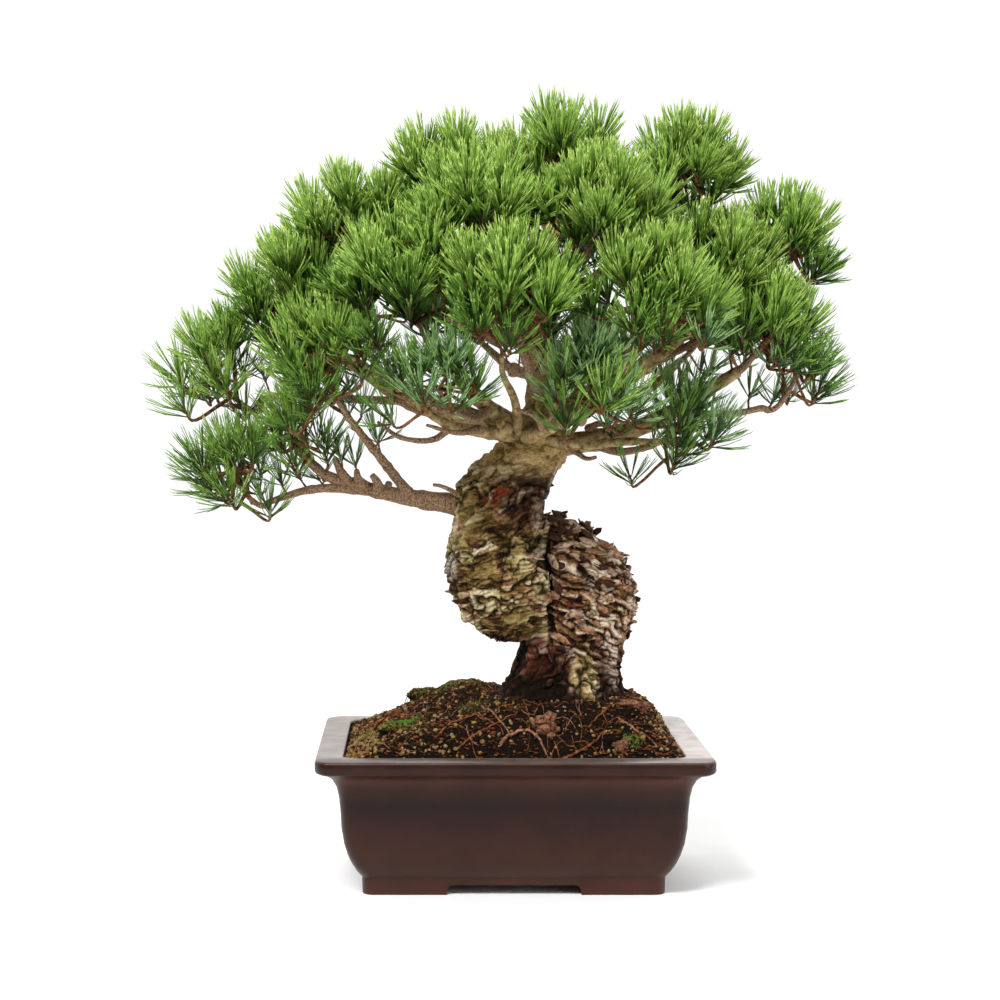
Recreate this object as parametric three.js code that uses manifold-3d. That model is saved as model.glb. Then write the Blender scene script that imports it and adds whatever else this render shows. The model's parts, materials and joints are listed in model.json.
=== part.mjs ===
// Japanese white pine grown as a bonsai: a knotted old trunk, its boughs and masses of needles,
// in a rectangular unglazed pot. Millimetres, +Z up, the pot's front towards -Y.
import * as THREE from "three";
import { mergeVertices } from "three/addons/utils/BufferGeometryUtils.js";
import Module from "manifold-3d";

const wasm = await Module();
wasm.setup();

// Driving dimensions
const GAP = 0.3;
const CUT = 0.4;
const POT = { width: 300, depth: 220, height: 106.5, wall: 21, floor: 20, corner: 6, cornerSteps: 2 };
// The inner edge of the rim is cut off a little
const RIM_EDGE = { inset: -1.4, drop: 1.2, past: 0.2 };
const FOOT = { height: 7.4, openWidth: 102, openDepth: 58, round: 7 };
const SOIL = { edge: 103, plateau: 142, hip: 6, sidePoints: 3 };
// Knuckles of root and cushions of moss that stand out of the soil: the middle and half sizes of each
const KNOBS = [
  [24, -64, 136, 8, 6, 8], [72, -76, 119, 9, 6, 5], [88, -48, 136, 10, 7, 6],
  [-88, -44, 121, 17, 12, 5], [-66, 22, 137, 18, 13, 6],
];
const KNOB_SIDES = 8;
const SEAT = { x: 41, y: 0, radiusX: 56, radiusY: 50 };
const MOSS = { x: -40, y: 12, height: 12, spread: 24 };
const STEM_SIDES = 18;
const FLARE = { height: 30, depth: 0.08, flutes: 5, turn: 0.6 };
// Folds of the old bark that wind up round the stems: their depth, number and turn in a millimetre
const FOLD = { depth: 0.05, count: 6, twist: 0.06 };
const LEADER = { rootRadius: 17, tipRadius: 5.5, sides: 8, steps: 12 };
const BOUGH = { tipShare: 0.5, thinnest: 2.4, sides: 5, steps: 5 };
const BEND = { sag: 0.1, wander: 0.12, entry: 0.55, drop: 0.22 };
const CROWN = { x: 0, y: 0, z: 385, wide: 265, deep: 185, high: 215, lift: 0.45 };
// The tufts of a mass stand on a dome of this many radians. Their aim is a sum of up, the way the mass
// faces and away from its middle. They stand as far out as a needle that tall stays within the radius,
// and none stands nearer to the middle than the last number
const DOME = { cap: 1.95, jitter: 0.15, rise: 1, out: 0.35, spread: 0.3, tall: 36, widest: 0.72, least: 4 };
const SHOOT = { straight: 6, reach: 0.2, first: 0.15, last: 0.94, radius: 3.2, tipRadius: 2 };
const TWIG = { radius: 1.5, rootRadius: 1.8, clear: 0.5 };
// Belly, neck and heart are shares of the core's height
const TUFT = { length: 33, core: 6.5, neckRadius: 4, height: 16, belly: 0.38, neck: 0.75, heart: 0.25 };
// Needles shorter than this are left off, and a core keeps these distances to the planes of its space
const ROOM = { needle: 4, core: 2, top: 1 };
// What each set of random numbers starts from
const SEED = { boughs: 900, tufts: 100, tuftStep: 17 };
const GOLDEN_ANGLE = Math.PI * (3 - Math.sqrt(5));

// Colours of the whole tree, as they look from a step away
const CLAY = "#4f352c";
const EARTH = "#3a2a1e";
const BARK = "#857257";
const LIMB = "#9a8563";
const NEEDLES = "#5f8f3c";

const v = (x, y, z) => new THREE.Vector3(x, y, z);
const UP = v(0, 0, 1);

// Seeded random numbers from 0 to 1
function seeded(seed) {
  let state = seed >>> 0;
  return () => {
    state = (Math.imul(state, 1664525) + 1013904223) >>> 0;
    return state / 4294967296;
  };
}

// Solids

function solidOf(positions, triangles) {
  const mesh = new wasm.Mesh({
    numProp: 3,
    vertProperties: new Float32Array(positions),
    triVerts: new Uint32Array(triangles),
  });
  return new wasm.Manifold(mesh);
}

function solidFrom(geometry) {
  const plain = geometry.clone();
  plain.deleteAttribute("normal");
  plain.deleteAttribute("uv");
  const merged = mergeVertices(plain, 1e-4);
  return solidOf(merged.attributes.position.array, merged.index.array);
}

// The largest body of a join: a loose scrap is dropped and a sealed hollow is filled
function mainBody(solid) {
  const bodies = solid.decompose();
  return bodies.reduce((a, b) => (b.volume() > a.volume() ? b : a));
}

function meshOf(name, solid, colour, roughness) {
  const { vertProperties, triVerts } = solid.getMesh();
  const geometry = new THREE.BufferGeometry();
  geometry.setAttribute("position", new THREE.BufferAttribute(vertProperties, 3));
  geometry.setIndex(new THREE.BufferAttribute(triVerts, 1));
  geometry.computeVertexNormals();
  const material = new THREE.MeshStandardMaterial({ color: colour, roughness, metalness: 0 });
  const mesh = new THREE.Mesh(geometry, material);
  mesh.name = name;
  return mesh;
}

// Skin over a stack of rings with the same number of points, closed flat at both ends
function loft(rings) {
  const count = rings[0].length;
  const positions = rings.flat().flatMap((p) => [p.x, p.y, p.z]);
  const triangles = [];
  for (let r = 0; r + 1 < rings.length; r++) {
    for (let i = 0; i < count; i++) {
      const a = r * count + i;
      const b = r * count + ((i + 1) % count);
      triangles.push(a, b, b + count, a, b + count, a + count);
    }
  }
  const last = (rings.length - 1) * count;
  for (let i = 1; i + 1 < count; i++) {
    triangles.push(0, i + 1, i, last, last + i, last + i + 1);
  }
  return solidOf(positions, triangles);
}

// Pot

function roundedRectangle(halfX, halfY, corner, z, between = 0) {
  const ring = [];
  const turns = [[1, 1], [-1, 1], [-1, -1], [1, -1]];
  turns.forEach(([sx, sy], quarter) => {
    for (let i = 0; i <= POT.cornerSteps; i++) {
      const angle = (quarter + i / POT.cornerSteps) * (Math.PI / 2);
      const x = sx * (halfX - corner) + corner * Math.cos(angle);
      const y = sy * (halfY - corner) + corner * Math.sin(angle);
      ring.push(v(x, y, z));
    }
    const [nextX, nextY] = turns[(quarter + 1) % 4];
    const turned = (quarter + 1) * (Math.PI / 2);
    const next = v(nextX * (halfX - corner) + corner * Math.cos(turned),
      nextY * (halfY - corner) + corner * Math.sin(turned), z);
    const last = ring.at(-1);
    for (let i = 1; i <= between; i++) ring.push(last.clone().lerp(next, i / (between + 1)));
  });
  return ring;
}

// Height above the ground and inset from the rim's edge, from the foot band up to the rim
const POT_PROFILE = [
  [0, 35], [13, 34.5], [14, 33.5], [18, 30.5], [24, 27], [31, 24], [40, 21.3], [52, 19.4], [64, 18.8],
  [76, 17.6], [84, 15.8], [90, 12.6], [94, 8], [95.5, 3], [97, 0.6], [99, 0], [104.5, 0], [106, 0.7],
  [POT.height, 2],
];

function footOpening(width, depth, along) {
  const outline = new THREE.Shape();
  const half = width / 2;
  outline.moveTo(-half, -1);
  outline.lineTo(half, -1);
  outline.lineTo(half, 1);
  outline.quadraticCurveTo(half - 1, FOOT.height - 1, half - FOOT.round, FOOT.height);
  outline.lineTo(-half + FOOT.round, FOOT.height);
  outline.quadraticCurveTo(-half + 1, FOOT.height - 1, -half, 1);
  const cut = new THREE.ExtrudeGeometry(outline, { depth, bevelEnabled: false, curveSegments: 4 });
  cut.rotateX(Math.PI / 2);
  cut.translate(0, depth / 2, 0);
  if (along === "x") cut.rotateZ(Math.PI / 2);
  return solidFrom(cut);
}

// The pot's hollow, and the soil in it, narrow towards the floor
const HOLLOW = [[POT.floor, 18], [POT.floor + 30, 6], [POT.height - 14, 0]];

function hollowRing(inset, z, between) {
  const [halfX, halfY] = [POT.width / 2 - POT.wall, POT.depth / 2 - POT.wall];
  return roundedRectangle(halfX - inset, halfY - inset, POT.corner, z, between);
}

function buildPot() {
  const outer = loft(POT_PROFILE.map(([z, inset]) =>
    roundedRectangle(POT.width / 2 - inset, POT.depth / 2 - inset, POT.corner + inset * 0.1, z)));
  const inside = loft([
    ...HOLLOW.map(([z, inset]) => hollowRing(inset, z)),
    hollowRing(0, POT.height - RIM_EDGE.drop),
    hollowRing(RIM_EDGE.inset, POT.height + RIM_EDGE.past),
  ]);
  const across = footOpening(FOOT.openWidth, POT.depth, "y");
  const endways = footOpening(FOOT.openDepth, POT.width, "x");
  return mainBody(outer.subtract(inside).subtract(across).subtract(endways));
}

// Soil: heaped from the pot's inner edge up to the flat seat of the trunk, with knobs that stand out

const knobSolid = ([x, y, z, wide, deep, high]) =>
  wasm.Manifold.sphere(1, KNOB_SIDES).scale([wide, deep, high]).translate([x, y, z]);

function buildSoil() {
  const rim = hollowRing(GAP, SOIL.edge, SOIL.sidePoints);
  const rings = [...HOLLOW.map(([z, inset]) => hollowRing(inset + GAP, z + GAP, SOIL.sidePoints)), rim];
  for (const share of [0.12, 0.3, 0.5, 0.7, 0.86, 1]) {
    rings.push(rim.map((p) => {
      const angle = Math.atan2(p.y * POT.width, p.x * POT.depth);
      const seatX = SEAT.x + SEAT.radiusX * Math.cos(angle);
      const seatY = SEAT.y + SEAT.radiusY * Math.sin(angle);
      const x = p.x + (seatX - p.x) * share;
      const y = p.y + (seatY - p.y) * share;
      const heap = (SOIL.plateau - SOIL.edge) * (1 - (1 - share) ** 2);
      const hip = SOIL.hip * Math.sin(Math.PI * share) * Math.abs(Math.sin(2 * angle)) ** 5;
      const away = Math.hypot(x - MOSS.x, y - MOSS.y) / MOSS.spread;
      const lump = share < 1 ? MOSS.height * Math.exp(-0.5 * away * away) : 0;
      return v(x, y, SOIL.edge + heap + lump - hip);
    }));
  }
  return wasm.Manifold.union([loft(rings), ...KNOBS.map(knobSolid)]);
}

// Trunk: two swollen stems grown into one, pinched to a neck below the fork

// Each row: height, left and right side, middle of the depth, half the depth
const RIGHT_STEM = [
  [SOIL.plateau + GAP, -12, 92, 0, 47], [150, -6, 89, 0, 42], [165, 2, 90, 2, 38], [182, 6, 92, 4, 37],
  [205, 10, 101, 6, 42], [228, 14, 99, 6, 43], [248, 16, 88, 5, 38], [265, 10, 70, 3, 31],
  [278, 6, 50, 2, 22], [284, 12, 36, 2, 10],
];
const LEFT_STEM = [
  [183, -8, 14, -4, 9], [189, -20, 24, -4, 22], [202, -37, 33, -6, 36], [222, -46, 37, -8, 44],
  [243, -52, 35, -8, 46], [262, -48, 31, -6, 43], [282, -44, 26, -2, 36], [296, -45, 30, 0, 34],
  [308, -43, 33, 0, 33], [322, -30, 40, 0, 31], [336, -12, 49, 1, 27], [348, -4, 46, 2, 21],
  [356, 8, 38, 3, 12],
];

function stem(rows, flareDepth, grow) {
  const rings = rows.map(([z, left, right, middleY, halfDepth]) => {
    const ring = [];
    const low = Math.max(0, 1 - (z - rows[0][0]) / FLARE.height);
    for (let i = 0; i < STEM_SIDES; i++) {
      const angle = (i / STEM_SIDES) * 2 * Math.PI;
      const buttress = 1 + flareDepth * low * Math.cos(FLARE.flutes * angle + FLARE.turn);
      const fold = 1 + FOLD.depth * Math.sin(FOLD.count * angle + FOLD.twist * z);
      const size = buttress * fold;
      const x = (left + right) / 2 + ((right - left) / 2 + grow) * size * Math.cos(angle);
      const y = middleY + (halfDepth + grow) * size * Math.sin(angle);
      ring.push(v(x, y, z));
    }
    return ring;
  });
  if (grow) {
    rings[0].forEach((p) => (p.z -= grow));
    rings[rings.length - 1].forEach((p) => (p.z += grow));
  }
  return loft(rings);
}

const curveOf = (points) => new THREE.CatmullRomCurve3(points, false, "catmullrom", 0.5);

// A limb that tapers evenly along its curve, with flat ends
function limbSolid(limb, grow = 0) {
  const steps = limb.steps;
  const frames = limb.curve.computeFrenetFrames(steps, false);
  const rings = [];
  for (let i = 0; i <= steps; i++) {
    const t = i / steps;
    const centre = limb.curve.getPointAt(t);
    const radius = limb.rootRadius + (limb.tipRadius - limb.rootRadius) * t + grow;
    const ring = [];
    for (let k = 0; k < limb.sides; k++) {
      const angle = (k / limb.sides) * 2 * Math.PI;
      const across = frames.normals[i].clone().multiplyScalar(radius * Math.cos(angle));
      const over = frames.binormals[i].clone().multiplyScalar(radius * Math.sin(angle));
      ring.push(centre.clone().add(across).add(over));
    }
    rings.push(ring);
  }
  if (grow) rings[steps].forEach((p) => p.addScaledVector(frames.tangents[steps], grow));
  return loft(rings);
}

const leader = {
  curve: curveOf([v(16, 1, 335), v(29, 6, 385), v(17, 5, 440), v(33, 3, 500), v(30, 2, 546)]),
  ...LEADER,
};

function trunkSolid(grow = 0) {
  const right = stem(RIGHT_STEM, FLARE.depth, grow);
  const left = stem(LEFT_STEM, 0, grow);
  return right.add(left).add(limbSolid(leader, grow));
}

// The crown: each row is a mass of needles, its middle, its radius and its count of tufts, and the
// bough that carries it: its parent limb, listed before it, how far along that it leaves, its radius
// at the root, and any points that it passes on the way
const MASSES = [
  ["left_upper", [-170, -24, 448], 60, 7, "trunk_fork", 0, 9, [[-30, -10, 360], [-78, -12, 378]]],
  ["far_left", [-227, -15, 390], 59, 8, "left_upper", 0.5, 3.6, [[-150, -8, 376], [-192, -9, 376]]],
  ["low_left_inner", [-166, -24, 343], 46, 6, "trunk_side", 0, 8, [[-84, -6, 298], [-128, -12, 309]]],
  ["low_left_outer", [-211, -32, 318], 46, 7, "low_left_inner", 0.62, 4.2,
    [[-152, -18, 305], [-186, -25, 296]]],
  ["left_front", [-140, -82, 398], 56, 8, "low_left_inner", 0.36, 4.2, [[-103, -20, 330]]],
  ["left_top", [-129, -10, 503], 58, 7, "trunk", 0.4, 6, []],
  ["front_left", [-82, -100, 458], 60, 8, "trunk_fork", 0, 7.5, [[-22, -35, 372]]],
  ["front_low_left", [-55, -118, 379], 50, 7, "front_left", 0.35, 4, []],
  ["top_left", [-48, -8, 542], 58, 8, "trunk", 0.72, 5, []],
  ["front_top_left", [-26, -90, 509], 57, 8, "trunk", 0.5, 5, []],
  ["front_centre", [-5, -138, 448], 56, 8, "trunk", 0.22, 5.5, []],
  ["front_top_right", [66, -86, 509], 58, 9, "trunk", 0.6, 5, []],
  ["right_crown", [141, 5, 559], 47, 7, "trunk", 0.52, 6, []],
  ["front_right", [100, -122, 446], 60, 8, "trunk_fork", 0, 7.5, [[62, -45, 375]]],
  ["front_low_right", [52, -130, 378], 50, 7, "front_right", 0.35, 4, []],
  ["right_upper", [164, -24, 469], 56, 8, "trunk_fork", 0, 8, [[68, 5, 372], [112, -2, 405]]],
  ["right_tip", [217, 0, 498], 47, 6, "right_upper", 0.7, 3.4, []],
  ["right_mid", [197, -38, 425], 50, 6, "trunk_low_fork", 0, 9, [[78, -10, 345], [120, -20, 362]]],
  ["right_outlier", [218, -20, 393], 43, 3, "right_mid", 0.62, 3, [[172, -22, 364], [196, -20, 368]]],
  ["right_low", [124, -66, 353], 50, 8, "right_mid", 0.2, 4, []],
  ["back_left", [-148, 68, 426], 60, 6, "left_upper", 0.3, 5, []],
  ["back_left_top", [-90, 75, 504], 58, 6, "left_top", 0.35, 4.2, []],
  ["back_top", [6, 80, 541], 58, 6, "trunk", 0.62, 5, []],
  ["back_right_top", [101, 78, 516], 58, 6, "right_crown", 0.35, 4.2, []],
  ["back_right", [164, 64, 431], 60, 6, "right_upper", 0.3, 5, []],
  ["back_centre", [-30, 128, 443], 60, 6, "trunk", 0.3, 5.5, []],
  ["back_low_right", [68, 126, 409], 58, 6, "trunk_fork", 0, 6, [[48, 50, 368]]],
  ["top", [42, 0, 559], 58, 7, "trunk_tip", 1, 0, []],
];

// Places on the trunk that boughs leave from, below its upper stem
const ROOTS = {
  trunk_side: v(-36, -2, 291),
  trunk_fork: v(16, 0, 350),
  trunk_low_fork: v(30, 0, 338),
};

const massOf = ([name, centre, radius, tufts, parent, at, rootRadius, via], index) => ({
  name, index, centre: v(...centre), radius, tufts, parent, at, rootRadius, via: via.map((p) => v(...p)),
});
const masses = MASSES.map(massOf);

// A bough runs from its parent limb to where it enters its mass
function boughTo(mass, limbs) {
  const parent = limbs[mass.parent];
  const root = ROOTS[mass.parent] ?? parent.curve.getPointAt(mass.at);
  const approach = mass.centre.clone().sub(mass.via.at(-1) ?? root).normalize();
  const tip = mass.centre.clone().addScaledVector(approach, -BEND.entry * mass.radius);
  tip.z -= BEND.drop * mass.radius;
  const random = seeded(SEED.boughs + mass.index);
  const points = [root, ...mass.via, tip];
  if (!mass.via.length) {
    const middle = root.clone().lerp(tip, 0.5);
    const length = root.distanceTo(tip);
    middle.z -= BEND.sag * length;
    middle.x += (random() - 0.5) * BEND.wander * length;
    middle.y += (random() - 0.5) * BEND.wander * length;
    points.splice(1, 0, middle);
  }
  return {
    name: `bough_${mass.name}`,
    curve: curveOf(points),
    rootRadius: mass.rootRadius,
    tipRadius: Math.max(BOUGH.thinnest, mass.rootRadius * BOUGH.tipShare),
    sides: BOUGH.sides,
    steps: BOUGH.steps,
  };
}

// Limbs as chains of capsules, for telling what a twig would touch
function capsulesOf(limb) {
  const chain = [];
  for (let i = 0; i < limb.steps; i++) {
    const radius = limb.rootRadius + (limb.tipRadius - limb.rootRadius) * (i / limb.steps);
    chain.push({
      a: limb.curve.getPointAt(i / limb.steps),
      b: limb.curve.getPointAt((i + 1) / limb.steps),
      radius,
    });
  }
  return chain;
}

function segmentGap(a, b, c, d) {
  const u = b.clone().sub(a);
  const w = d.clone().sub(c);
  const r = a.clone().sub(c);
  const uu = u.dot(u);
  const ww = w.dot(w);
  const uw = u.dot(w);
  const ur = u.dot(r);
  const wr = w.dot(r);
  const spread = uu * ww - uw * uw;
  let s = spread > 1e-9 ? THREE.MathUtils.clamp((uw * wr - ur * ww) / spread, 0, 1) : 0;
  const t = THREE.MathUtils.clamp((uw * s + wr) / ww, 0, 1);
  s = THREE.MathUtils.clamp((uw * t - ur) / uu, 0, 1);
  return a.clone().addScaledVector(u, s).distanceTo(c.clone().addScaledVector(w, t));
}

const isClear = (a, b, radius, capsules) =>
  capsules.every((limb) => segmentGap(a, b, limb.a, limb.b) > radius + limb.radius + TWIG.clear);

// The space of a mass: the side of each plane between it and another mass that it lies on
function spaceOf(mass) {
  return masses.filter((other) => other !== mass).map((other) => {
    const normal = other.centre.clone().sub(mass.centre);
    const share = mass.radius / (mass.radius + other.radius);
    const point = mass.centre.clone().addScaledVector(normal, share);
    normal.normalize();
    return { normal, offset: normal.dot(point) - GAP / 2 };
  });
}

const roomIn = (space, point) => Math.min(...space.map((p) => p.offset - p.normal.dot(point)));

// How far a needle can reach from a point before it leaves the space
function reachIn(space, from, direction, length) {
  let reach = length;
  for (const plane of space) {
    const pace = plane.normal.dot(direction);
    if (pace > 1e-6) reach = Math.min(reach, (plane.offset - plane.normal.dot(from)) / pace);
  }
  return reach;
}

// The way a mass faces: out of the crown, and a little up
function outwardOf(mass) {
  const { x, y, z, wide, deep, high, lift } = CROWN;
  const out = v((mass.centre.x - x) / wide, (mass.centre.y - y) / deep, (mass.centre.z - z) / high);
  return out.normalize().addScaledVector(UP, lift).normalize();
}

function frameOn(axis) {
  const helper = Math.abs(axis.z) < 0.9 ? UP : v(1, 0, 0);
  const side = helper.clone().cross(axis).normalize();
  return [side, axis.clone().cross(side)];
}

// How far out a tuft stands: where its needles touch the mass's reach, inside the mass's space
function depthOf(mass, space, away, aim) {
  const pace = away.dot(aim);
  const depth = Math.sqrt(mass.radius ** 2 - DOME.tall ** 2 * (1 - pace ** 2)) - DOME.tall * pace;
  const inset = space.map(({ normal, offset }) => {
    const margin = Math.max(TUFT.core + ROOM.core, ROOM.top + TUFT.height * normal.dot(aim));
    return { normal, offset: offset - margin };
  });
  return Math.max(0, reachIn(inset, mass.centre, away, Math.min(depth, DOME.widest * mass.radius)));
}

// Tufts stand on a dome round the middle of the mass, each turned by the golden angle from the last
function tuftPlaces(mass, space) {
  const random = seeded(SEED.tufts + SEED.tuftStep * mass.index);
  const outward = outwardOf(mass);
  const [side, over] = frameOn(outward);
  const first = random() * 2 * Math.PI;
  const places = [];
  for (let i = 0; i < mass.tufts; i++) {
    const share = (i + 0.5) / mass.tufts;
    const tilt = Math.acos(1 - share * (1 - Math.cos(DOME.cap)));
    const turn = first + i * GOLDEN_ANGLE;
    const away = outward.clone().multiplyScalar(Math.cos(tilt));
    away.addScaledVector(side, Math.sin(tilt) * Math.cos(turn));
    away.addScaledVector(over, Math.sin(tilt) * Math.sin(turn));
    const aim = UP.clone().multiplyScalar(DOME.rise);
    aim.addScaledVector(outward, DOME.out).addScaledVector(away, DOME.spread).normalize();
    const depth = depthOf(mass, space, away, aim) * (1 - DOME.jitter * random());
    if (depth < DOME.least) continue;
    places.push({ base: mass.centre.clone().addScaledVector(away, depth), aim, turn, share });
  }
  return places;
}

// The planes half way to each tuft close by, where one tuft's needles stop short of the next one's
function planesRound(place, others) {
  return others.filter((other) => other !== place && other.base.distanceTo(place.base) < 2 * TUFT.length)
    .map((other) => {
      const normal = other.base.clone().sub(place.base).normalize();
      const middle = other.base.clone().lerp(place.base, 0.5);
      return { normal, offset: normal.dot(middle) - GAP / 2 };
    });
}

// A sprig is a three-sided twig that swells to the slim core of a tuft, with a needle standing out
// of each of the core's nine faces
function sprigSolid(place, planes, capsules) {
  const { base, aim, from } = place;
  const [side, over] = frameOn(aim);
  const run = base.clone().sub(from).normalize();
  const twigSide = side.clone().addScaledVector(run, -side.dot(run)).normalize();
  const twigOver = run.clone().cross(twigSide);
  const ring = (centre, across, up, radius, shift) => [0, 1, 2].map((k) => {
    const angle = place.turn + ((k + shift) / 3) * 2 * Math.PI;
    return centre.clone()
      .addScaledVector(across, radius * Math.cos(angle))
      .addScaledVector(up, radius * Math.sin(angle));
  });
  const along = (height) => base.clone().addScaledVector(aim, height);
  const points = [
    ...ring(from, twigSide, twigOver, TWIG.rootRadius, 0),
    ...ring(along(0), side, over, TWIG.radius, 0),
    ...ring(along(TUFT.belly * TUFT.height), side, over, TUFT.core, 0),
    ...ring(along(TUFT.neck * TUFT.height), side, over, TUFT.neckRadius, 0.5),
    along(TUFT.height),
  ];
  const [root, foot, belly, neck, crown] = [0, 3, 6, 9, 12];
  const triangles = [root, root + 2, root + 1];
  const needled = [];
  for (let k = 0; k < 3; k++) {
    const next = (k + 1) % 3;
    for (const low of [root, foot]) {
      triangles.push(low + k, low + next, low + next + 3, low + k, low + next + 3, low + k + 3);
    }
    needled.push([belly + k, belly + next, neck + k]);
    needled.push([belly + next, neck + next, neck + k]);
    needled.push([neck + k, neck + next, crown]);
  }
  const heart = along(TUFT.heart * TUFT.height);
  for (const [a, b, c] of needled) {
    const middle = points[a].clone().add(points[b]).add(points[c]).divideScalar(3);
    const way = middle.clone().sub(heart).normalize();
    const reach = reachIn(planes, middle, way, TUFT.length);
    const tip = middle.clone().addScaledVector(way, reach);
    if (reach < ROOM.needle || !isClear(middle, tip, TWIG.radius, capsules)) {
      triangles.push(a, b, c);
      continue;
    }
    points.push(tip);
    const last = points.length - 1;
    triangles.push(a, b, last, b, c, last, c, a, last);
  }
  return solidOf(points.flatMap((p) => [p.x, p.y, p.z]), triangles);
}

// A three-sided stem that leaves flush with the bough's tip and then turns towards its end
function stemSolid(start, heading, bend, end) {
  const [side, over] = frameOn(heading);
  const run = end.clone().sub(bend).normalize();
  const farSide = side.clone().addScaledVector(run, -side.dot(run)).normalize();
  const farOver = run.clone().cross(farSide);
  const ring = (centre, across, up, radius) => [0, 1, 2].map((k) => {
    const angle = (k / 3) * 2 * Math.PI;
    return centre.clone()
      .addScaledVector(across, radius * Math.cos(angle))
      .addScaledVector(up, radius * Math.sin(angle));
  });
  return loft([
    ring(start, side, over, SHOOT.radius),
    ring(bend, side, over, SHOOT.radius),
    ring(end, farSide, farOver, SHOOT.tipRadius),
  ]);
}

// A stem leaves the bough's tip and runs through its mass, and a twig leaves it for each tuft: the
// nearer a tuft is to the way the mass faces, the further along
function planMass(mass, tip, heading, capsules) {
  const space = spaceOf(mass);
  const start = tip.clone().addScaledVector(heading, GAP);
  const bend = start.clone().addScaledVector(heading, SHOOT.straight);
  const end = mass.centre.clone().addScaledVector(outwardOf(mass), SHOOT.reach * mass.radius);
  const fits = (place) => {
    const top = place.base.clone().addScaledVector(place.aim, TUFT.height);
    return roomIn(space, place.base) > TUFT.core + ROOM.core && roomIn(space, top) > ROOM.top
      && isClear(place.base, top, TUFT.core, capsules)
      && isClear(place.from, place.base, TWIG.radius, capsules);
  };
  const places = tuftPlaces(mass, space);
  for (const place of places) {
    place.from = bend.clone().lerp(end, SHOOT.last + (SHOOT.first - SHOOT.last) * place.share);
  }
  return { mass, space, start, heading, bend, end, places: places.filter(fits) };
}

const twigCapsule = (place) => ({ a: place.from, b: place.base, radius: TWIG.radius });

function growMass({ space, start, heading, bend, end, places }, allPlaces, capsules) {
  const solids = [stemSolid(start, heading, bend, end)];
  for (const place of places) {
    const planes = [...space, ...planesRound(place, allPlaces)];
    const twigs = places.filter((other) => other !== place).map(twigCapsule);
    const stemCapsule = { a: bend, b: end, radius: SHOOT.radius };
    solids.push(sprigSolid(place, planes, [...capsules, ...twigs, stemCapsule]));
  }
  return mainBody(wasm.Manifold.union(solids));
}

// Assembly

const group = new THREE.Group();
group.add(meshOf("pot", buildPot(), CLAY, 0.5));
group.add(meshOf("soil", buildSoil(), EARTH, 0.95));
group.add(meshOf("trunk", mainBody(trunkSolid()), BARK, 0.9));

const limbs = { trunk: leader };
const grown = [trunkSolid(CUT)];
for (const mass of masses.filter(({ parent }) => parent !== "trunk_tip")) {
  const bough = boughTo(mass, limbs);
  limbs[mass.name] = bough;
  let solid = limbSolid(bough);
  for (const other of grown) solid = solid.subtract(other);
  grown.push(limbSolid(bough, CUT));
  group.add(meshOf(bough.name, mainBody(solid), LIMB, 0.85));
}

const NECK = { a: v(-7, 0, 270), b: v(20, 0, 340), radius: 38 };
const capsules = [...Object.values(limbs).flatMap(capsulesOf), NECK];
const plans = masses.map((mass) => {
  const carrier = limbs[mass.name] ?? leader;
  return planMass(mass, carrier.curve.getPointAt(1), carrier.curve.getTangentAt(1), capsules);
});
const allPlaces = plans.flatMap((plan) => plan.places);
for (const plan of plans) {
  const solid = growMass(plan, allPlaces, capsules);
  group.add(meshOf(`needles_${plan.mass.name}`, solid, NEEDLES, 0.6));
}

// The origin is on the ground under the middle of the whole
group.updateMatrixWorld(true);
const box = new THREE.Box3().setFromObject(group, true);
group.position.set(-(box.min.x + box.max.x) / 2, -(box.min.y + box.max.y) / 2, -box.min.z);

export default group;
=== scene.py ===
# Japanese white pine grown as a bonsai, in a rectangular unglazed pot
import json
import math
from collections import namedtuple

import bpy
import numpy as np
from mathutils import Matrix, Vector, noise
from mathutils.bvhtree import BVHTree

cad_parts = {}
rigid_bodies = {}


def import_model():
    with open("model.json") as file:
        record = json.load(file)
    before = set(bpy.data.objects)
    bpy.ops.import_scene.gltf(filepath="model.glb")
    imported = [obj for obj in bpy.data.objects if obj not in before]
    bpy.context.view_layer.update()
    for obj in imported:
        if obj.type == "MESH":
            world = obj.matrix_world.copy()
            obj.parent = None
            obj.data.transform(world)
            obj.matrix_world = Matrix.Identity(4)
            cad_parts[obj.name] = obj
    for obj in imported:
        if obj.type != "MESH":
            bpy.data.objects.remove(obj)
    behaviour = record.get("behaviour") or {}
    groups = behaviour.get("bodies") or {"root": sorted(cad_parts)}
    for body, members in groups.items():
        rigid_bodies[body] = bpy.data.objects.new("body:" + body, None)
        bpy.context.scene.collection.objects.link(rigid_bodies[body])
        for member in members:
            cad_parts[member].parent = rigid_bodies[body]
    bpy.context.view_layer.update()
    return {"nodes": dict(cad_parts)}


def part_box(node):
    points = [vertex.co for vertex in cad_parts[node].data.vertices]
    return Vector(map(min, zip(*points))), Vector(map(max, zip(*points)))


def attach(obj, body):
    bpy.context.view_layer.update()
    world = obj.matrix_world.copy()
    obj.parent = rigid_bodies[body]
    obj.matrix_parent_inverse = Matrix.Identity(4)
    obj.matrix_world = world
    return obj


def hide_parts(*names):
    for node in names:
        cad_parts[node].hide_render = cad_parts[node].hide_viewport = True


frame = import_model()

# Lengths are millimetres in the pot's own frame, and the pot stands where its node does
MM = 0.001
pot_low, pot_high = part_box("pot")
PLACE = np.array([(pot_low.x + pot_high.x) / 2, (pot_low.y + pot_high.y) / 2, 0.0])
UP = np.array([0.0, 0.0, 1.0])
TURN = 2 * math.pi
ANY_TURN = (0, 6.28)
GOLDEN_ANGLE = math.pi * (3 - math.sqrt(5))

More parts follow.
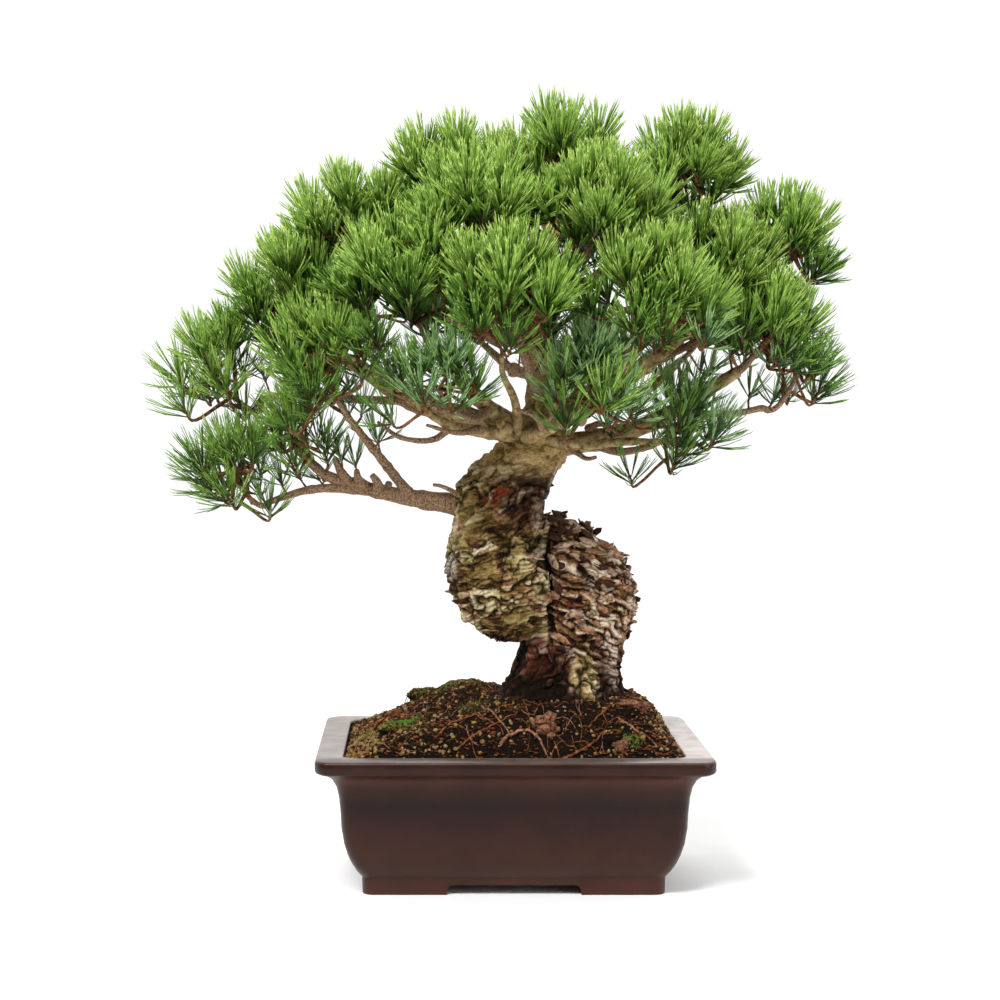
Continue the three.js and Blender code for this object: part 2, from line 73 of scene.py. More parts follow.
# Sizes
GAP = 0.3
POT = {"width": 300, "depth": 220, "height": 106.5, "wall": 21, "corner": 9, "lip": 1.4, "edge": 0.9}
FOOT = {"height": 7.4, "open_width": 102, "open_depth": 58, "round": 5}
BED = (127, 87)
SEAT = {"x": 41, "earth": (56, 50), "bare": (50, 45)}
GRAIN = {"count": 9400, "size": (0.55, 1.6), "crumb": (1.9, 0.8, 0.35)}
CRUST = {"lump": 11, "crumb": 4.5, "rise": (1.6, 1.1), "sink": 0.6}
# The patch in front of the trunk's foot where the earth is left bare and dark as painted shade: middle and
# half sizes
PAINTED_SHADE_PATCH = {"middle": (30, -46), "half": (55, 34)}
FIBRE = {"count": 420, "length": (5, 22), "radius": (0.22, 0.42), "lies": 0.9}
MOSS_BLADE = {"density": (9, 4.5), "brown": (0.15, 0.75), "length": (1.6, 3.6)}
BARK = {"voxel": 1.16, "fissure": 2.2, "chip_rise": 0.75}
LEADER = {"root": 17, "tip": 5.5, "steps": 12}
BOUGH = {"tip_share": 0.5, "thinnest": 2.4, "steps": 5, "pace": 1.8}
BEND = {"sag": 0.1, "wander": 0.12, "entry": 0.55, "drop": 0.22}
KNOT = {"pace": 26, "swell": 0.16, "length": 0.5}
CROWN = {"middle": (0, 0, 385), "half": (265, 185, 215), "lift": 0.45}
DOME = {"cap": 1.95, "jitter": 0.15, "rise": 1.0, "out": 0.35, "spread": 0.3, "tall": 36,
        "widest": 0.72, "least": 4}
SHOOT = {"straight": 6, "reach": 0.2, "first": 0.15, "last": 0.94, "radius": 3.2, "thin": 2.0}
TWIG = {"radius": 1.5, "clear": 0.5, "core": 6.5, "height": 16, "hook": 7, "slim": 1.0, "brush": 4.0,
        "thick": (1.7, 1.2), "end": 0.7}
TUFT = {"shoot": 12, "length": 37, "needles": 96, "bundle": 5, "lean": 0.1, "spread": 0.85,
        "radius": 0.56, "low": (385, 440), "count_varies": (0.85, 1.15), "length_varies": (0.84, 1.06)}
RUFF = {"count": 12, "climb": (-0.5, 7), "length": (1.6, 2.8)}
INNER_SHOOT = {"from": 0.4, "to": 0.97, "pace": 11, "away": (9, 24), "vigour": (0.35, 0.6), "brush": 3.0}
SIDE_SHOOT = {"count": 3, "swing": 0.5, "away": 24, "away_varies": (0.8, 1.2), "back": 19,
              "back_varies": (0.6, 1.4), "turn": 0.5, "leaves": (3, 6), "share": 0.72,
              "share_varies": (0.85, 1.05)}
VALLEY = {"widest": 0.97, "rise": 0.95, "beside": (14, 26), "sway": 0.15, "leaves": 0.25, "hang": 6,
          "inside": 0.75, "vigour": (0.75, 0.95)}
# Where fewer tufts grow, so that the bare limbs show: left of the neck, and round the fork
OPENING = {"left": -88, "right": -8, "front": -50, "high": 362}
HUB = {"x": 20, "half": 85, "high": 400, "bare": 0.6}

# The crown, by the same rule as the solids: each row is a mass, its middle, its radius and its count
# of tufts, its bough's parent, how far along that it leaves, its root's radius and its way points
MASSES = [
    ("left_upper", (-170, -24, 448), 60, 7, "trunk_fork", 0, 9, [(-30, -10, 360), (-78, -12, 378)]),
    ("far_left", (-227, -15, 390), 59, 8, "left_upper", 0.5, 3.6, [(-150, -8, 376), (-192, -9, 376)]),
    ("low_left_inner", (-166, -24, 343), 46, 6, "trunk_side", 0, 8,
     [(-84, -6, 298), (-128, -12, 309)]),
    ("low_left_outer", (-211, -32, 318), 46, 7, "low_left_inner", 0.62, 4.2,
     [(-152, -18, 305), (-186, -25, 296)]),
    ("left_front", (-140, -82, 398), 56, 8, "low_left_inner", 0.36, 4.2, [(-103, -20, 330)]),
    ("left_top", (-129, -10, 503), 58, 7, "trunk", 0.4, 6, []),
    ("front_left", (-82, -100, 458), 60, 8, "trunk_fork", 0, 7.5, [(-22, -35, 372)]),
    ("front_low_left", (-55, -118, 379), 50, 7, "front_left", 0.35, 4, []),
    ("top_left", (-48, -8, 542), 58, 8, "trunk", 0.72, 5, []),
    ("front_top_left", (-26, -90, 509), 57, 8, "trunk", 0.5, 5, []),
    ("front_centre", (-5, -138, 448), 56, 8, "trunk", 0.22, 5.5, []),
    ("front_top_right", (66, -86, 509), 58, 9, "trunk", 0.6, 5, []),
    ("right_crown", (141, 5, 559), 47, 7, "trunk", 0.52, 6, []),
    ("front_right", (100, -122, 446), 60, 8, "trunk_fork", 0, 7.5, [(62, -45, 375)]),
    ("front_low_right", (52, -130, 378), 50, 7, "front_right", 0.35, 4, []),
    ("right_upper", (164, -24, 469), 56, 8, "trunk_fork", 0, 8, [(68, 5, 372), (112, -2, 405)]),
    ("right_tip", (217, 0, 498), 47, 6, "right_upper", 0.7, 3.4, []),
    ("right_mid", (197, -38, 425), 50, 6, "trunk_low_fork", 0, 9, [(78, -10, 345), (120, -20, 362)]),
    ("right_outlier", (218, -20, 393), 43, 3, "right_mid", 0.62, 3,
     [(172, -22, 364), (196, -20, 368)]),
    ("right_low", (124, -66, 353), 50, 8, "right_mid", 0.2, 4, []),
    ("back_left", (-148, 68, 426), 60, 6, "left_upper", 0.3, 5, []),
    ("back_left_top", (-90, 75, 504), 58, 6, "left_top", 0.35, 4.2, []),
    ("back_top", (6, 80, 541), 58, 6, "trunk", 0.62, 5, []),
    ("back_right_top", (101, 78, 516), 58, 6, "right_crown", 0.35, 4.2, []),
    ("back_right", (164, 64, 431), 60, 6, "right_upper", 0.3, 5, []),
    ("back_centre", (-30, 128, 443), 60, 6, "trunk", 0.3, 5.5, []),
    ("back_low_right", (68, 126, 409), 58, 6, "trunk_fork", 0, 6, [(48, 50, 368)]),
    ("top", (42, 0, 559), 58, 7, "trunk_tip", 1, 0, []),
]
# Where boughs leave the trunk, the leader that runs up out of its neck, and the neck itself
ROOTS = {"trunk_side": (-36, -2, 291), "trunk_fork": (16, 0, 350), "trunk_low_fork": (30, 0, 338)}
LEADER_LINE = [(16, 1, 335), (29, 6, 385), (17, 5, 440), (33, 3, 500), (30, 2, 546)]
NECK = ((-7, 0, 270), (20, 0, 340), 38)


# Small tools


def in_frame(points):
    """Millimetres in the pot's frame to metres in the row frame."""
    return np.asarray(points, float) * MM + PLACE


def unit(vectors):
    vectors = np.asarray(vectors, float)
    return vectors / np.maximum(np.linalg.norm(vectors, axis=-1, keepdims=True), 1e-9)


def smooth(value, low, high):
    """From 0 to 1 as the value goes from low to high, with soft ends."""
    share = np.clip((value - low) / (high - low), 0, 1)
    return share * share * (3 - 2 * share)


def seeded(seed):
    """Random numbers from 0 to 1, the same ones that the solids are grown with."""
    state = seed

    def draw():
        nonlocal state
        state = (state * 1664525 + 1013904223) & 0xFFFFFFFF
        return state / 4294967296

    return draw


def frame_on(axis):
    """Two ways across an axis and across each other."""
    helper = UP if abs(axis[2]) < 0.9 else np.array([1.0, 0.0, 0.0])
    side = unit(np.cross(helper, axis))
    return side, np.cross(axis, side)


def ring(count):
    """The angles of evenly spaced points round a circle."""
    return np.arange(count) / count * TURN


def noise_at(points, grain, seed=0.0):
    """Smooth noise from about -1 to 1, with lumps of about the grain's size."""
    scaled = np.asarray(points, float) / grain + seed * 17.3
    return np.array([noise.noise(p) for p in map(Vector, scaled)])


class Curve:
    """A smooth curve through points, run evenly by its length, as the solids' limbs are."""

    def __init__(self, points):
        points = np.array(points, float)
        before = 2 * points[0] - points[1]
        after = 2 * points[-1] - points[-2]
        self.points = np.vstack([before, points, after])
        self.spans = len(points) - 1
        self.times = np.linspace(0, 1, 201)
        table = np.array([self.raw(t) for t in self.times])
        self.lengths = np.concatenate([[0], np.cumsum(np.linalg.norm(np.diff(table, axis=0), axis=1))])
        self.length = self.lengths[-1]

    def raw(self, t):
        place = t * self.spans
        span = min(int(place), self.spans - 1)
        w = place - span
        p0, p1, p2, p3 = self.points[span:span + 4]
        t0, t1 = (p2 - p0) / 2, (p3 - p1) / 2
        cubic = 2 * p1 - 2 * p2 + t0 + t1
        square = -3 * p1 + 3 * p2 - 2 * t0 - t1
        return cubic * w**3 + square * w**2 + t0 * w + p1

    def at(self, share):
        return self.raw(float(np.interp(share * self.length, self.lengths, self.times)))

    def heading(self, share=1.0):
        return unit(self.at(share) - self.at(share - 0.001))

    def spread(self, count):
        return np.array([self.at(i / (count - 1)) for i in range(count)])


def bezier(a, b, c, d, count):
    t = np.linspace(0, 1, count)[:, None]
    return a * (1 - t)**3 + 3 * b * t * (1 - t)**2 + 3 * c * t * t * (1 - t) + d * t**3


def deselect():
    if bpy.context.object and bpy.context.object.mode != "OBJECT":
        bpy.ops.object.mode_set(mode="OBJECT")
    bpy.ops.object.select_all(action="DESELECT")


def only(piece):
    deselect()
    piece.select_set(True)
    bpy.context.view_layer.objects.active = piece


def apply_modifier(piece, kind, **settings):
    only(piece)
    modifier = piece.modifiers.new(kind.lower(), kind)
    for name, value in settings.items():
        setattr(modifier, name, value)
    bpy.ops.object.modifier_apply(modifier=modifier.name)


def read(rows, what):
    values = np.empty(len(rows) * 3, np.float32)
    rows.foreach_get(what, values)
    return values.reshape(-1, 3).astype(float)


def points_of(piece):
    """A piece's points, in millimetres in the pot's frame."""
    return (read(piece.data.vertices, "co") - PLACE) / MM


def normals_of(piece):
    return read(piece.data.vertex_normals, "vector")


def write_points(piece, points):
    piece.data.vertices.foreach_set("co", in_frame(points).astype(np.float32).ravel())
    piece.data.update()


def skin_of(node, name, voxel):
    """A new piece on a CAD node's shape: a copy, its loose triangles merged, in an even fine mesh."""
    deselect()
    piece = bpy.data.objects.new(name, frame["nodes"][node].data.copy())
    bpy.context.scene.collection.objects.link(piece)
    only(piece)
    bpy.ops.object.mode_set(mode="EDIT")
    bpy.ops.mesh.select_all(action="SELECT")
    bpy.ops.mesh.remove_doubles(threshold=1e-6)
    bpy.ops.object.mode_set(mode="OBJECT")
    apply_modifier(piece, "REMESH", mode="VOXEL", voxel_size=voxel * MM)
    return piece


class Heap:
    """Many small shapes that become one piece."""

    def __init__(self):
        self.points, self.triangles, self.slots, self.count = [], [], [], 0

    def add(self, points, triangles, slots=0):
        """Points in millimetres, triangles, and the number of each one's material."""
        triangles = np.asarray(triangles)
        self.points.append(np.asarray(points, float))
        self.triangles.append(triangles + self.count)
        self.slots.append(np.broadcast_to(slots, len(triangles)))
        self.count += len(points)

    def piece(self, name, materials):
        points, triangles, slots = map(np.concatenate, (self.points, self.triangles, self.slots))
        mesh = bpy.data.meshes.new(name)
        mesh.vertices.add(len(points))
        mesh.vertices.foreach_set("co", in_frame(points).astype(np.float32).ravel())
        mesh.loops.add(triangles.size)
        mesh.loops.foreach_set("vertex_index", triangles.astype(np.int32).ravel())
        mesh.polygons.add(len(triangles))
        mesh.polygons.foreach_set("loop_start", np.arange(0, triangles.size, 3, dtype=np.int32))
        mesh.polygons.foreach_set("material_index", slots.astype(np.int32))
        mesh.update(calc_edges=True)
        for material in materials:
            mesh.materials.append(material)
        piece = bpy.data.objects.new(name, mesh)
        bpy.context.scene.collection.objects.link(piece)
        return piece


def finished(piece, slot, *nodes, smooth_angle=None, material=None):
    """The piece rides on the plant's one body, and stands for these nodes."""
    only(piece)
    if material:
        piece.data.materials.clear()
        piece.data.materials.append(material)
    if smooth_angle:
        bpy.ops.object.shade_smooth_by_angle(angle=math.radians(smooth_angle))
    if nodes:
        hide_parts(*nodes)
    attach(piece, "root")


def tube(line, radii, sides, relief=None):
    """A closed tube along a line. Relief is a height for each point of each ring."""
    line = np.asarray(line, float)
    rings = len(line)
    radii = np.broadcast_to(np.asarray(radii, float), rings)
    ways = unit(np.gradient(line, axis=0))
    side = frame_on(ways[0])[0]
    angles = ring(sides)
    skin = np.empty((rings, sides, 3))
    for i in range(rings):
        side = unit(side - ways[i] * np.dot(side, ways[i]))
        over = np.cross(ways[i], side)
        spoke = np.cos(angles)[:, None] * side + np.sin(angles)[:, None] * over
        rise = radii[i] + (relief[i] if relief is not None else 0)
        skin[i] = line[i] + spoke * np.reshape(rise, (-1, 1))
    points = np.concatenate([skin.reshape(-1, 3), line[:1] - ways[:1] * radii[0] * 0.3,
                             line[-1:] + ways[-1:] * radii[-1] * 0.3])
    first = np.arange(rings - 1)[:, None] * sides
    here = np.arange(sides)
    following = (here + 1) % sides
    a, b = (first + here).ravel(), (first + following).ravel()
    last = (rings - 1) * sides
    start, end = rings * sides, rings * sides + 1
    triangles = np.concatenate([
        np.stack([a, b, b + sides], 1), np.stack([a, b + sides, a + sides], 1),
        np.stack([following, here, np.full(sides, start)], 1),
        np.stack([last + here, last + following, np.full(sides, end)], 1),
    ])
    return points, triangles


# Finishes


def colour(hex_code):
    """An sRGB hex colour as Blender's linear red, green, blue and alpha."""
    values = [int(hex_code[i:i + 2], 16) / 255 for i in (1, 3, 5)]
    linear = [v / 12.92 if v <= 0.04045 else ((v + 0.055) / 1.055) ** 2.4 for v in values]
    return (*linear, 1.0)


def add(tree, kind, settings=None, links=None, stops=(), out=0):
    """Adds a node with its settings, by property or by socket, the sockets that it is linked from and
    its ramp's stops, and gives one of its outputs. A colour is given as a hex code."""
    node = tree.nodes.new(f"ShaderNode{kind}")
    for name, value in (settings or {}).items():
        value = colour(value) if str(value).startswith("#") else value
        if name in node.bl_rna.properties.keys():
            setattr(node, name, value)
        else:
            node.inputs[name].default_value = value
    for name, source in (links or {}).items():
        tree.links.new(source, node.inputs[name])
    if stops:
        elements = node.color_ramp.elements
        elements.remove(elements[-1])
        elements[0].position, elements[0].color = stops[0][0], colour(stops[0][1])
        for position, hex_code in stops[1:]:
            elements.new(position).color = colour(hex_code)
    return node.outputs[out]


def new_material(name, roughness, ior, specular=0.5):
    """A material with its shader's own numbers, its node tree, and a link from Object coordinates."""
    material = bpy.data.materials.new(name)
    material.use_nodes = True
    tree = material.node_tree
    for socket, value in {"Roughness": roughness, "IOR": ior, "Specular IOR Level": specular}.items():
        tree.nodes["Principled BSDF"].inputs[socket].default_value = value
    return material, tree, {"Vector": add(tree, "TexCoord", out="Object")}


def to_shader(tree, links):
    for socket, source in links.items():
        tree.links.new(source, tree.nodes["Principled BSDF"].inputs[socket])


# The clay's tones from the foot to the rim, by share of the pot's height: its own brown with painted shade
# and reflection, lighter towards the foot, darkest across the upper body and lighter again below the rim
CLAY_WITH_PAINTED_SHADE_AND_REFLECTION = [(0.0, "#452619"), (0.12, "#3f2317"), (0.3, "#3b1e13"), (0.5, "#2b1008"), (0.66, "#1c0703"),
              (0.76, "#33150a"), (0.85, "#472519"), (0.89, "#3a1d12"), (0.92, "#2c130a"), (1.0, "#2f140b")]


def unglazed_stoneware():
    """Stoneware clay, fired unglazed: a chocolate body with a satin skin, banded by height with painted
    shade and reflection, cloudy from the kiln, finely gritty, with a pale bloom of lime and wear on the rim
    that is partly a painted highlight."""
    material, tree, at = new_material("stoneware clay, fired unglazed", 0.46, 1.5, 0.22)
    place = [add(tree, "SeparateXYZ", links=at, out=axis) for axis in "XYZ"]
    # The colour by height, with painted shade across the upper body and painted reflection towards the foot
    climb = add(tree, "MapRange", {"From Min": 0, "From Max": POT["height"] * MM}, {"Value": place[2]})
    body = add(tree, "ValToRGB", links={"Fac": climb}, stops=CLAY_WITH_PAINTED_SHADE_AND_REFLECTION)
    clouds = add(tree, "TexNoise", {"Scale": 1 / (38 * MM), "Detail": 3, "Roughness": 0.6}, at)
    cloudy = add(tree, "ValToRGB", links={"Fac": clouds}, stops=[(0.35, "#8a8a8a"), (0.65, "#ffffff")])
    body = add(tree, "Mix", {"data_type": "RGBA", "blend_type": "MULTIPLY", 0: 0.4},
               {6: body, 7: cloudy}, out=2)
    grit = add(tree, "TexNoise", {"Scale": 1 / (1.3 * MM), "Detail": 3, "Roughness": 0.6}, at)
    specks = add(tree, "ValToRGB", links={"Fac": grit}, stops=[(0.68, "#000000"), (0.82, "#ffffff")])
    body = add(tree, "Mix", {"data_type": "RGBA", 7: "#4d382c"}, {0: specks, 6: body}, out=2)
    # A pale bloom of lime on the rim's top, partly a painted highlight
    lime = lime_and_glare_on_rim(tree, at, place)
    body = add(tree, "Mix", {"data_type": "RGBA", 7: "#b0a49d"}, {0: lime, 6: body}, out=2)
    satin = add(tree, "MapRange", {"To Min": 0.26, "To Max": 0.46}, {"Value": clouds})
    dents = add(tree, "TexNoise", {"Scale": 1 / (7 * MM), "Detail": 5, "Roughness": 0.6}, at)
    bump = add(tree, "Bump", {"Strength": 0.35, "Distance": 0.6 * MM}, {"Height": dents})
    bump = add(tree, "Bump", {"Strength": 0.25, "Distance": 0.2 * MM}, {"Height": grit, "Normal": bump})
    to_shader(tree, {"Base Color": body, "Roughness": satin, "Normal": bump})
    return material


def lime_and_glare_on_rim(tree, at, place):
    """Lime blooms on the rim's top only, partly a painted highlight of the rim's glare, more towards the
    right and less along the front.
    """
    bloom = add(tree, "TexNoise", {"Scale": 1 / (16 * MM), "Detail": 6, "Roughness": 0.6}, at)
    top, right, front = (104.5, 106.4, 0, 1), (-130, 130, 0.7, 1.6), (-92, -84, 0.25, 1)
    for axis, (start, end, low, high) in ((2, top), (0, right), (1, front)):
        span = {"From Min": start * MM, "From Max": end * MM, "To Min": low, "To Max": high}
        share = add(tree, "MapRange", span, {"Value": place[axis]})
        bloom = add(tree, "Math", {"operation": "MULTIPLY"}, {0: bloom, 1: share})
    return bloom


def speckled(name, dark, light, grain, roughness=0.92, depth=0.5):
    """A matt natural stuff whose colour wanders between two tones over lumps of its grain's size, in
    millimetres, with a bump as deep as given."""
    material, tree, at = new_material(name, roughness, 1.45, 0.12)
    lumps = add(tree, "TexNoise", {"Scale": 1 / (grain * MM), "Detail": 5, "Roughness": 0.6}, at)
    tone = add(tree, "ValToRGB", links={"Fac": lumps}, stops=[(0.35, dark), (0.65, light)])
    bump = add(tree, "Bump", {"Strength": 0.6, "Distance": depth * MM}, {"Height": lumps})
    to_shader(tree, {"Base Color": tone, "Normal": bump})
    return material


# Bark that is split red, pale with painted highlight, in deep painted shade and dark in a fissure, partly
# as painted shade there, each laid over the ones before
BARK_TINTS = {"rust": "#7c3419", "pale": "#d2c6b8", "shade": "#190b04", "fissure": "#0e0603"}
# Tones of bark from its clefts, dark partly as painted shade, to its bleached edges: bare plates, under
# algae, and young
PLATES = [(0.38, "#1f0e06"), (0.52, "#54301b"), (0.68, "#845a3e"), (0.84, "#b98f72"), (1.0, "#dfc8b4")]
ALGAE = [(0.36, "#1c1207"), (0.50, "#57411f"), (0.68, "#8a7443"), (0.86, "#ad9c6c"), (1.0, "#c6b78c")]
YOUNG = [(0.3, "#6b4f26"), (0.5, "#a88e5a"), (0.7, "#cdb681")]


def old_bark():
    """Old pine bark, weathered: corky grey plates with tan and pinkish faces where they have flaked,
    olive with algae on the shaded swelling, nearly black in the fissures, partly as painted shade, red
    where freshly split, with painted deep shade and painted highlights laid over."""
    material, tree, at = new_material("pine bark, old and weathered", 0.9, 1.45, 0.12)
    share = {name: add(tree, "Attribute", {"attribute_name": name}, out="Fac")
             for name in ("tone", "algae", "young", *BARK_TINTS)}
    drawn = {"Vector": add(tree, "Mapping", {"Scale": (1, 1, 2.5)}, at)}
    fine = add(tree, "TexNoise", {"Scale": 1 / (2.2 * MM), "Detail": 6, "Roughness": 0.6}, drawn)
    tone = add(tree, "Math", {"operation": "MULTIPLY_ADD", 1: 0.5}, {0: fine, 2: share["tone"]})
    body = add(tree, "ValToRGB", links={"Fac": tone}, stops=PLATES)
    for name, level, stops in (("algae", tone, ALGAE), ("young", fine, YOUNG)):
        over = add(tree, "ValToRGB", links={"Fac": level}, stops=stops)
        body = add(tree, "Mix", {"data_type": "RGBA"}, {0: share[name], 6: body, 7: over}, out=2)
    for name, tint in BARK_TINTS.items():
        body = add(tree, "Mix", {"data_type": "RGBA", 7: tint}, {0: share[name], 6: body}, out=2)
    drawn = {"Vector": add(tree, "Mapping", {"Scale": (1, 1, 2)}, at)}
    grain = add(tree, "TexNoise", {"Scale": 1 / (1.1 * MM), "Detail": 5, "Roughness": 0.6}, drawn)
    bump = add(tree, "Bump", {"Strength": 0.7, "Distance": 0.6 * MM}, {"Height": grain})
    to_shader(tree, {"Base Color": body, "Normal": bump})
    return material


def needle(name, dark, light):
    """A live pine needle: a waxy green skin with a soft sheen, its tone wandering a little from needle
    to needle."""
    material, tree, at = new_material(name, 0.42, 1.45, 0.35)
    tones = add(tree, "TexNoise", {"Scale": 1 / (5 * MM), "Detail": 2, "Roughness": 0.6}, at)
    share = add(tree, "MapRange", {"From Min": 0.35, "From Max": 0.65}, {"Value": tones})
    green = add(tree, "Mix", {"data_type": "RGBA", 6: dark, 7: light}, {0: share}, out=2)
    to_shader(tree, {"Base Color": green})
    return material


CLAY = unglazed_stoneware()
# Earth is nearly black and damp, and sieved grains on it are dull: lava black, baked clay tan, pumice
# pale, and weathered crumbs of bark red-brown
EARTH = speckled("potting earth, moist", "#060302", "#1b1008", 2.0)
BAKED_GRAIN = speckled("baked clay grain, sieved", "#5a4426", "#9a7f4c", 2.5)
DARK_GRAIN = speckled("volcanic grain, sieved", "#100904", "#3d2b19", 2.5)
PUMICE = speckled("pumice grain, sieved", "#6b5c3f", "#a39270", 1.5)
BARK_BIT = speckled("pine bark crumb, weathered", "#3c1d0e", "#86522c", 2.5)
# Live moss is a clear green and dry moss olive brown, both without any shine
MOSS = speckled("cushion moss, live", "#254a10", "#5f8f32", 3.0)
DRY_MOSS = speckled("cushion moss, dry", "#2c2611", "#6c6130", 3.0)
# Dry root fibre is rusty, a surfaced root greyer, and a knob of root has dark, coarse bark
ROOT_FIBRE = speckled("pine root fibre, dry", "#4a2312", "#8f5836", 4.0)
SURFACE_ROOT = speckled("pine root, surfaced", "#48281a", "#9d735a", 2.0)
ROOT_KNOB = speckled("pine root knob, barked", "#2b150b", "#94694f", 3.0, 0.88, 1.2)
OLD_BARK = old_bark()
# Loose flakes of bark are grey where weathered, tan where they split, and some are dark all through
FLAKE_GREY = speckled("pine bark flake, weathered", "#4a3423", "#b79c84", 4.0)
FLAKE_TAN = speckled("pine bark flake, split", "#5a3420", "#a8805f", 4.0)
FLAKE_DARK = speckled("pine bark flake, underside", "#1c100a", "#4a3020", 4.0)
# Young bark is smooth and straw grey, ten years on it is finely cracked, and a new twig is reddish
YOUNG_BARK = speckled("pine bark, young", "#5e4724", "#bba476", 5.0, 0.82, 0.7)
LIMB_BARK = speckled("pine bark, ten years old", "#523925", "#ae9072", 1.4, 0.86, 0.8)
RED_TWIG = speckled("pine twig, first year", "#3f2010", "#87603f", 3.0, 0.7, 0.4)
# Bud scales are thin, papery and rust-coloured
BUD_SCALE = speckled("bud scale, papery", "#5f260e", "#9c4f22", 2.0, 0.6, 0.3)
# The shaded greens are painted shade and the young, tip and waxy greens partly painted light: tufts take
# them by how high and how far out they stand, and a needle's lower half is the darker one
NEEDLES = [
    needle("pine needle, shaded", "#2b440f", "#42601c"),
    needle("pine needle, mature", "#48701c", "#6c9233"),
    needle("pine needle, young", "#6a912f", "#9bbb56"),
    needle("pine needle, tip of the year", "#8dae47", "#b6cc6c"),
    needle("pine needle, blue shaded", "#375526", "#5b7f45"),
    needle("pine needle, blue waxy", "#658f4c", "#98b779"),
]


# Pot

# Height above the ground and inset from the rim's edge, from the foot band up to the rim
POT_PROFILE = [
    (0, 35), (13, 34.5), (14, 33.5), (18, 30.5), (24, 27), (31, 24), (40, 21.3), (52, 19.4), (64, 18.8),
    (76, 17.6), (84, 15.8), (90, 12.6), (94, 8), (95.5, 3), (97, 0.6), (99, 0), (104.5, 0), (106, 0.7),
    (106.5, 2),
]
# Over the lip and down the hollow to its floor, with insets from the rim's edge
HOLLOW = [(106.5, POT["wall"] - POT["lip"]), (105.3, POT["wall"]), (92.5, POT["wall"]),
          (50, POT["wall"] + 6), (20, POT["wall"] + 18)]


def climb_to(now, half, z):
    """Raises or sinks the selected face by an extrusion, to a new height and new half sizes."""
    middle = in_frame((0, 0, z))
    lift = {"value": (0, 0, (z - now[2]) * MM)}
    bpy.ops.mesh.extrude_region_move(TRANSFORM_OT_translate=lift)
    bpy.ops.transform.resize(value=(half[0] / now[0], half[1] / now[1], 1), center_override=middle)
    return half[0], half[1], z


def raise_pot():
    """The foot's outline with rounded corners, drawn up the profile, over the lip and down again."""
    half = np.array([POT["width"], POT["depth"]]) / 2
    now = (*(half - POT_PROFILE[0][1]), 0)
    deselect()
    bpy.ops.mesh.primitive_plane_add(size=2, location=in_frame((0, 0, 0)))
    pot = bpy.context.object
    pot.name = "clay_pot"
    pot.scale = (now[0] * MM, now[1] * MM, 1)
    bpy.ops.object.transform_apply(location=True, rotation=True, scale=True)
    bpy.ops.object.mode_set(mode="EDIT")
    bpy.ops.mesh.bevel(offset=POT["corner"] * MM, segments=8, affect="VERTICES")
    bpy.ops.mesh.select_all(action="SELECT")
    for z, inset in POT_PROFILE[1:] + HOLLOW:
        now = climb_to(now, half - inset, z)
    bpy.ops.mesh.select_all(action="SELECT")
    bpy.ops.mesh.normals_make_consistent(inside=False)
    bpy.ops.object.mode_set(mode="OBJECT")
    return pot


def foot_cutter(size):
    """A bar with rounded upper edges that opens the foot band from side to side."""
    bpy.ops.mesh.primitive_cube_add(size=1, location=in_frame((0, 0, 0)))
    cutter = bpy.context.object
    cutter.scale = np.array(size) * MM
    bpy.ops.object.transform_apply(location=True, rotation=True, scale=True)
    apply_modifier(cutter, "BEVEL", width=FOOT["round"] * MM, segments=6, limit_method="ANGLE")
    return cutter


def build_pot():
    pot = raise_pot()
    across = (FOOT["open_width"], 2 * POT["depth"], 2 * FOOT["height"])
    endways = (2 * POT["width"], FOOT["open_depth"], 2 * FOOT["height"])
    for size in (across, endways):
        cutter = foot_cutter(size)
        apply_modifier(pot, "BOOLEAN", operation="DIFFERENCE", solver="EXACT", object=cutter)
        bpy.data.objects.remove(cutter)
    apply_modifier(pot, "BEVEL", width=POT["edge"] * MM, segments=3, limit_method="ANGLE",
                   angle_limit=math.radians(38))
    finished(pot, "pot", "pot", smooth_angle=32, material=CLAY)


# Soil


def from_foot(x, y, half):
    """How far a place lies from the trunk's foot, as a share of an oval's half sizes."""
    return np.hypot((x - SEAT["x"]) / half[0], y / half[1])


def build_earth():
    """Potting earth, heaped up to the trunk's seat, with a crumbly skin above the rim's inner edge.
    What rays from above meet on it is given back."""
    soil = skin_of("soil", "potting_earth", 1.8)
    points = points_of(soil)
    x, y, z = points.T
    free = smooth(normals_of(soil)[:, 2], 0.15, 0.5) * smooth(z, 96, 104)
    free *= smooth(from_foot(x, y, SEAT["earth"]), 0.7, 0.95)
    lumps, crumbs = noise_at(points, CRUST["lump"], 1), noise_at(points, CRUST["crumb"], 2)
    points[:, 2] += (CRUST["rise"][0] * lumps + CRUST["rise"][1] * crumbs - CRUST["sink"]) * free
    write_points(soil, points)
    finished(soil, "soil", "soil", smooth_angle=60, material=EARTH)
    faces = [tuple(face.vertices) for face in soil.data.polygons]
    return BVHTree.FromPolygons([Vector(p) for p in points_of(soil)], faces)


def drop(surface, x, y):
    """The point and normal of a surface under a place, or nothing."""
    hit, normal, _, _ = surface.ray_cast(Vector((x, y, 400)), Vector((0, 0, -1)))
    return (None, None) if hit is None else (np.array(hit), np.array(normal))


def lump_shape():
    """A stone of twenty faces, as an icosahedron's points and faces."""
    golden = (1 + math.sqrt(5)) / 2
    rows = [(0, a, b * golden) for a in (-1, 1) for b in (-1, 1)]
    rows = rows + [(y, z, x) for x, y, z in rows] + [(z, x, y) for x, y, z in rows]
    corners = unit(rows)
    near = corners @ corners.T > 0.4
    faces = []
    for i in range(12):
        for j in range(i + 1, 12):
            for k in range(j + 1, 12):
                if near[i, j] and near[j, k] and near[i, k]:
                    a, b, c = corners[[i, j, k]]
                    outward = np.dot(np.cross(b - a, c - a), a) > 0
                    faces.append((i, j, k) if outward else (i, k, j))
    return corners, np.array(faces)


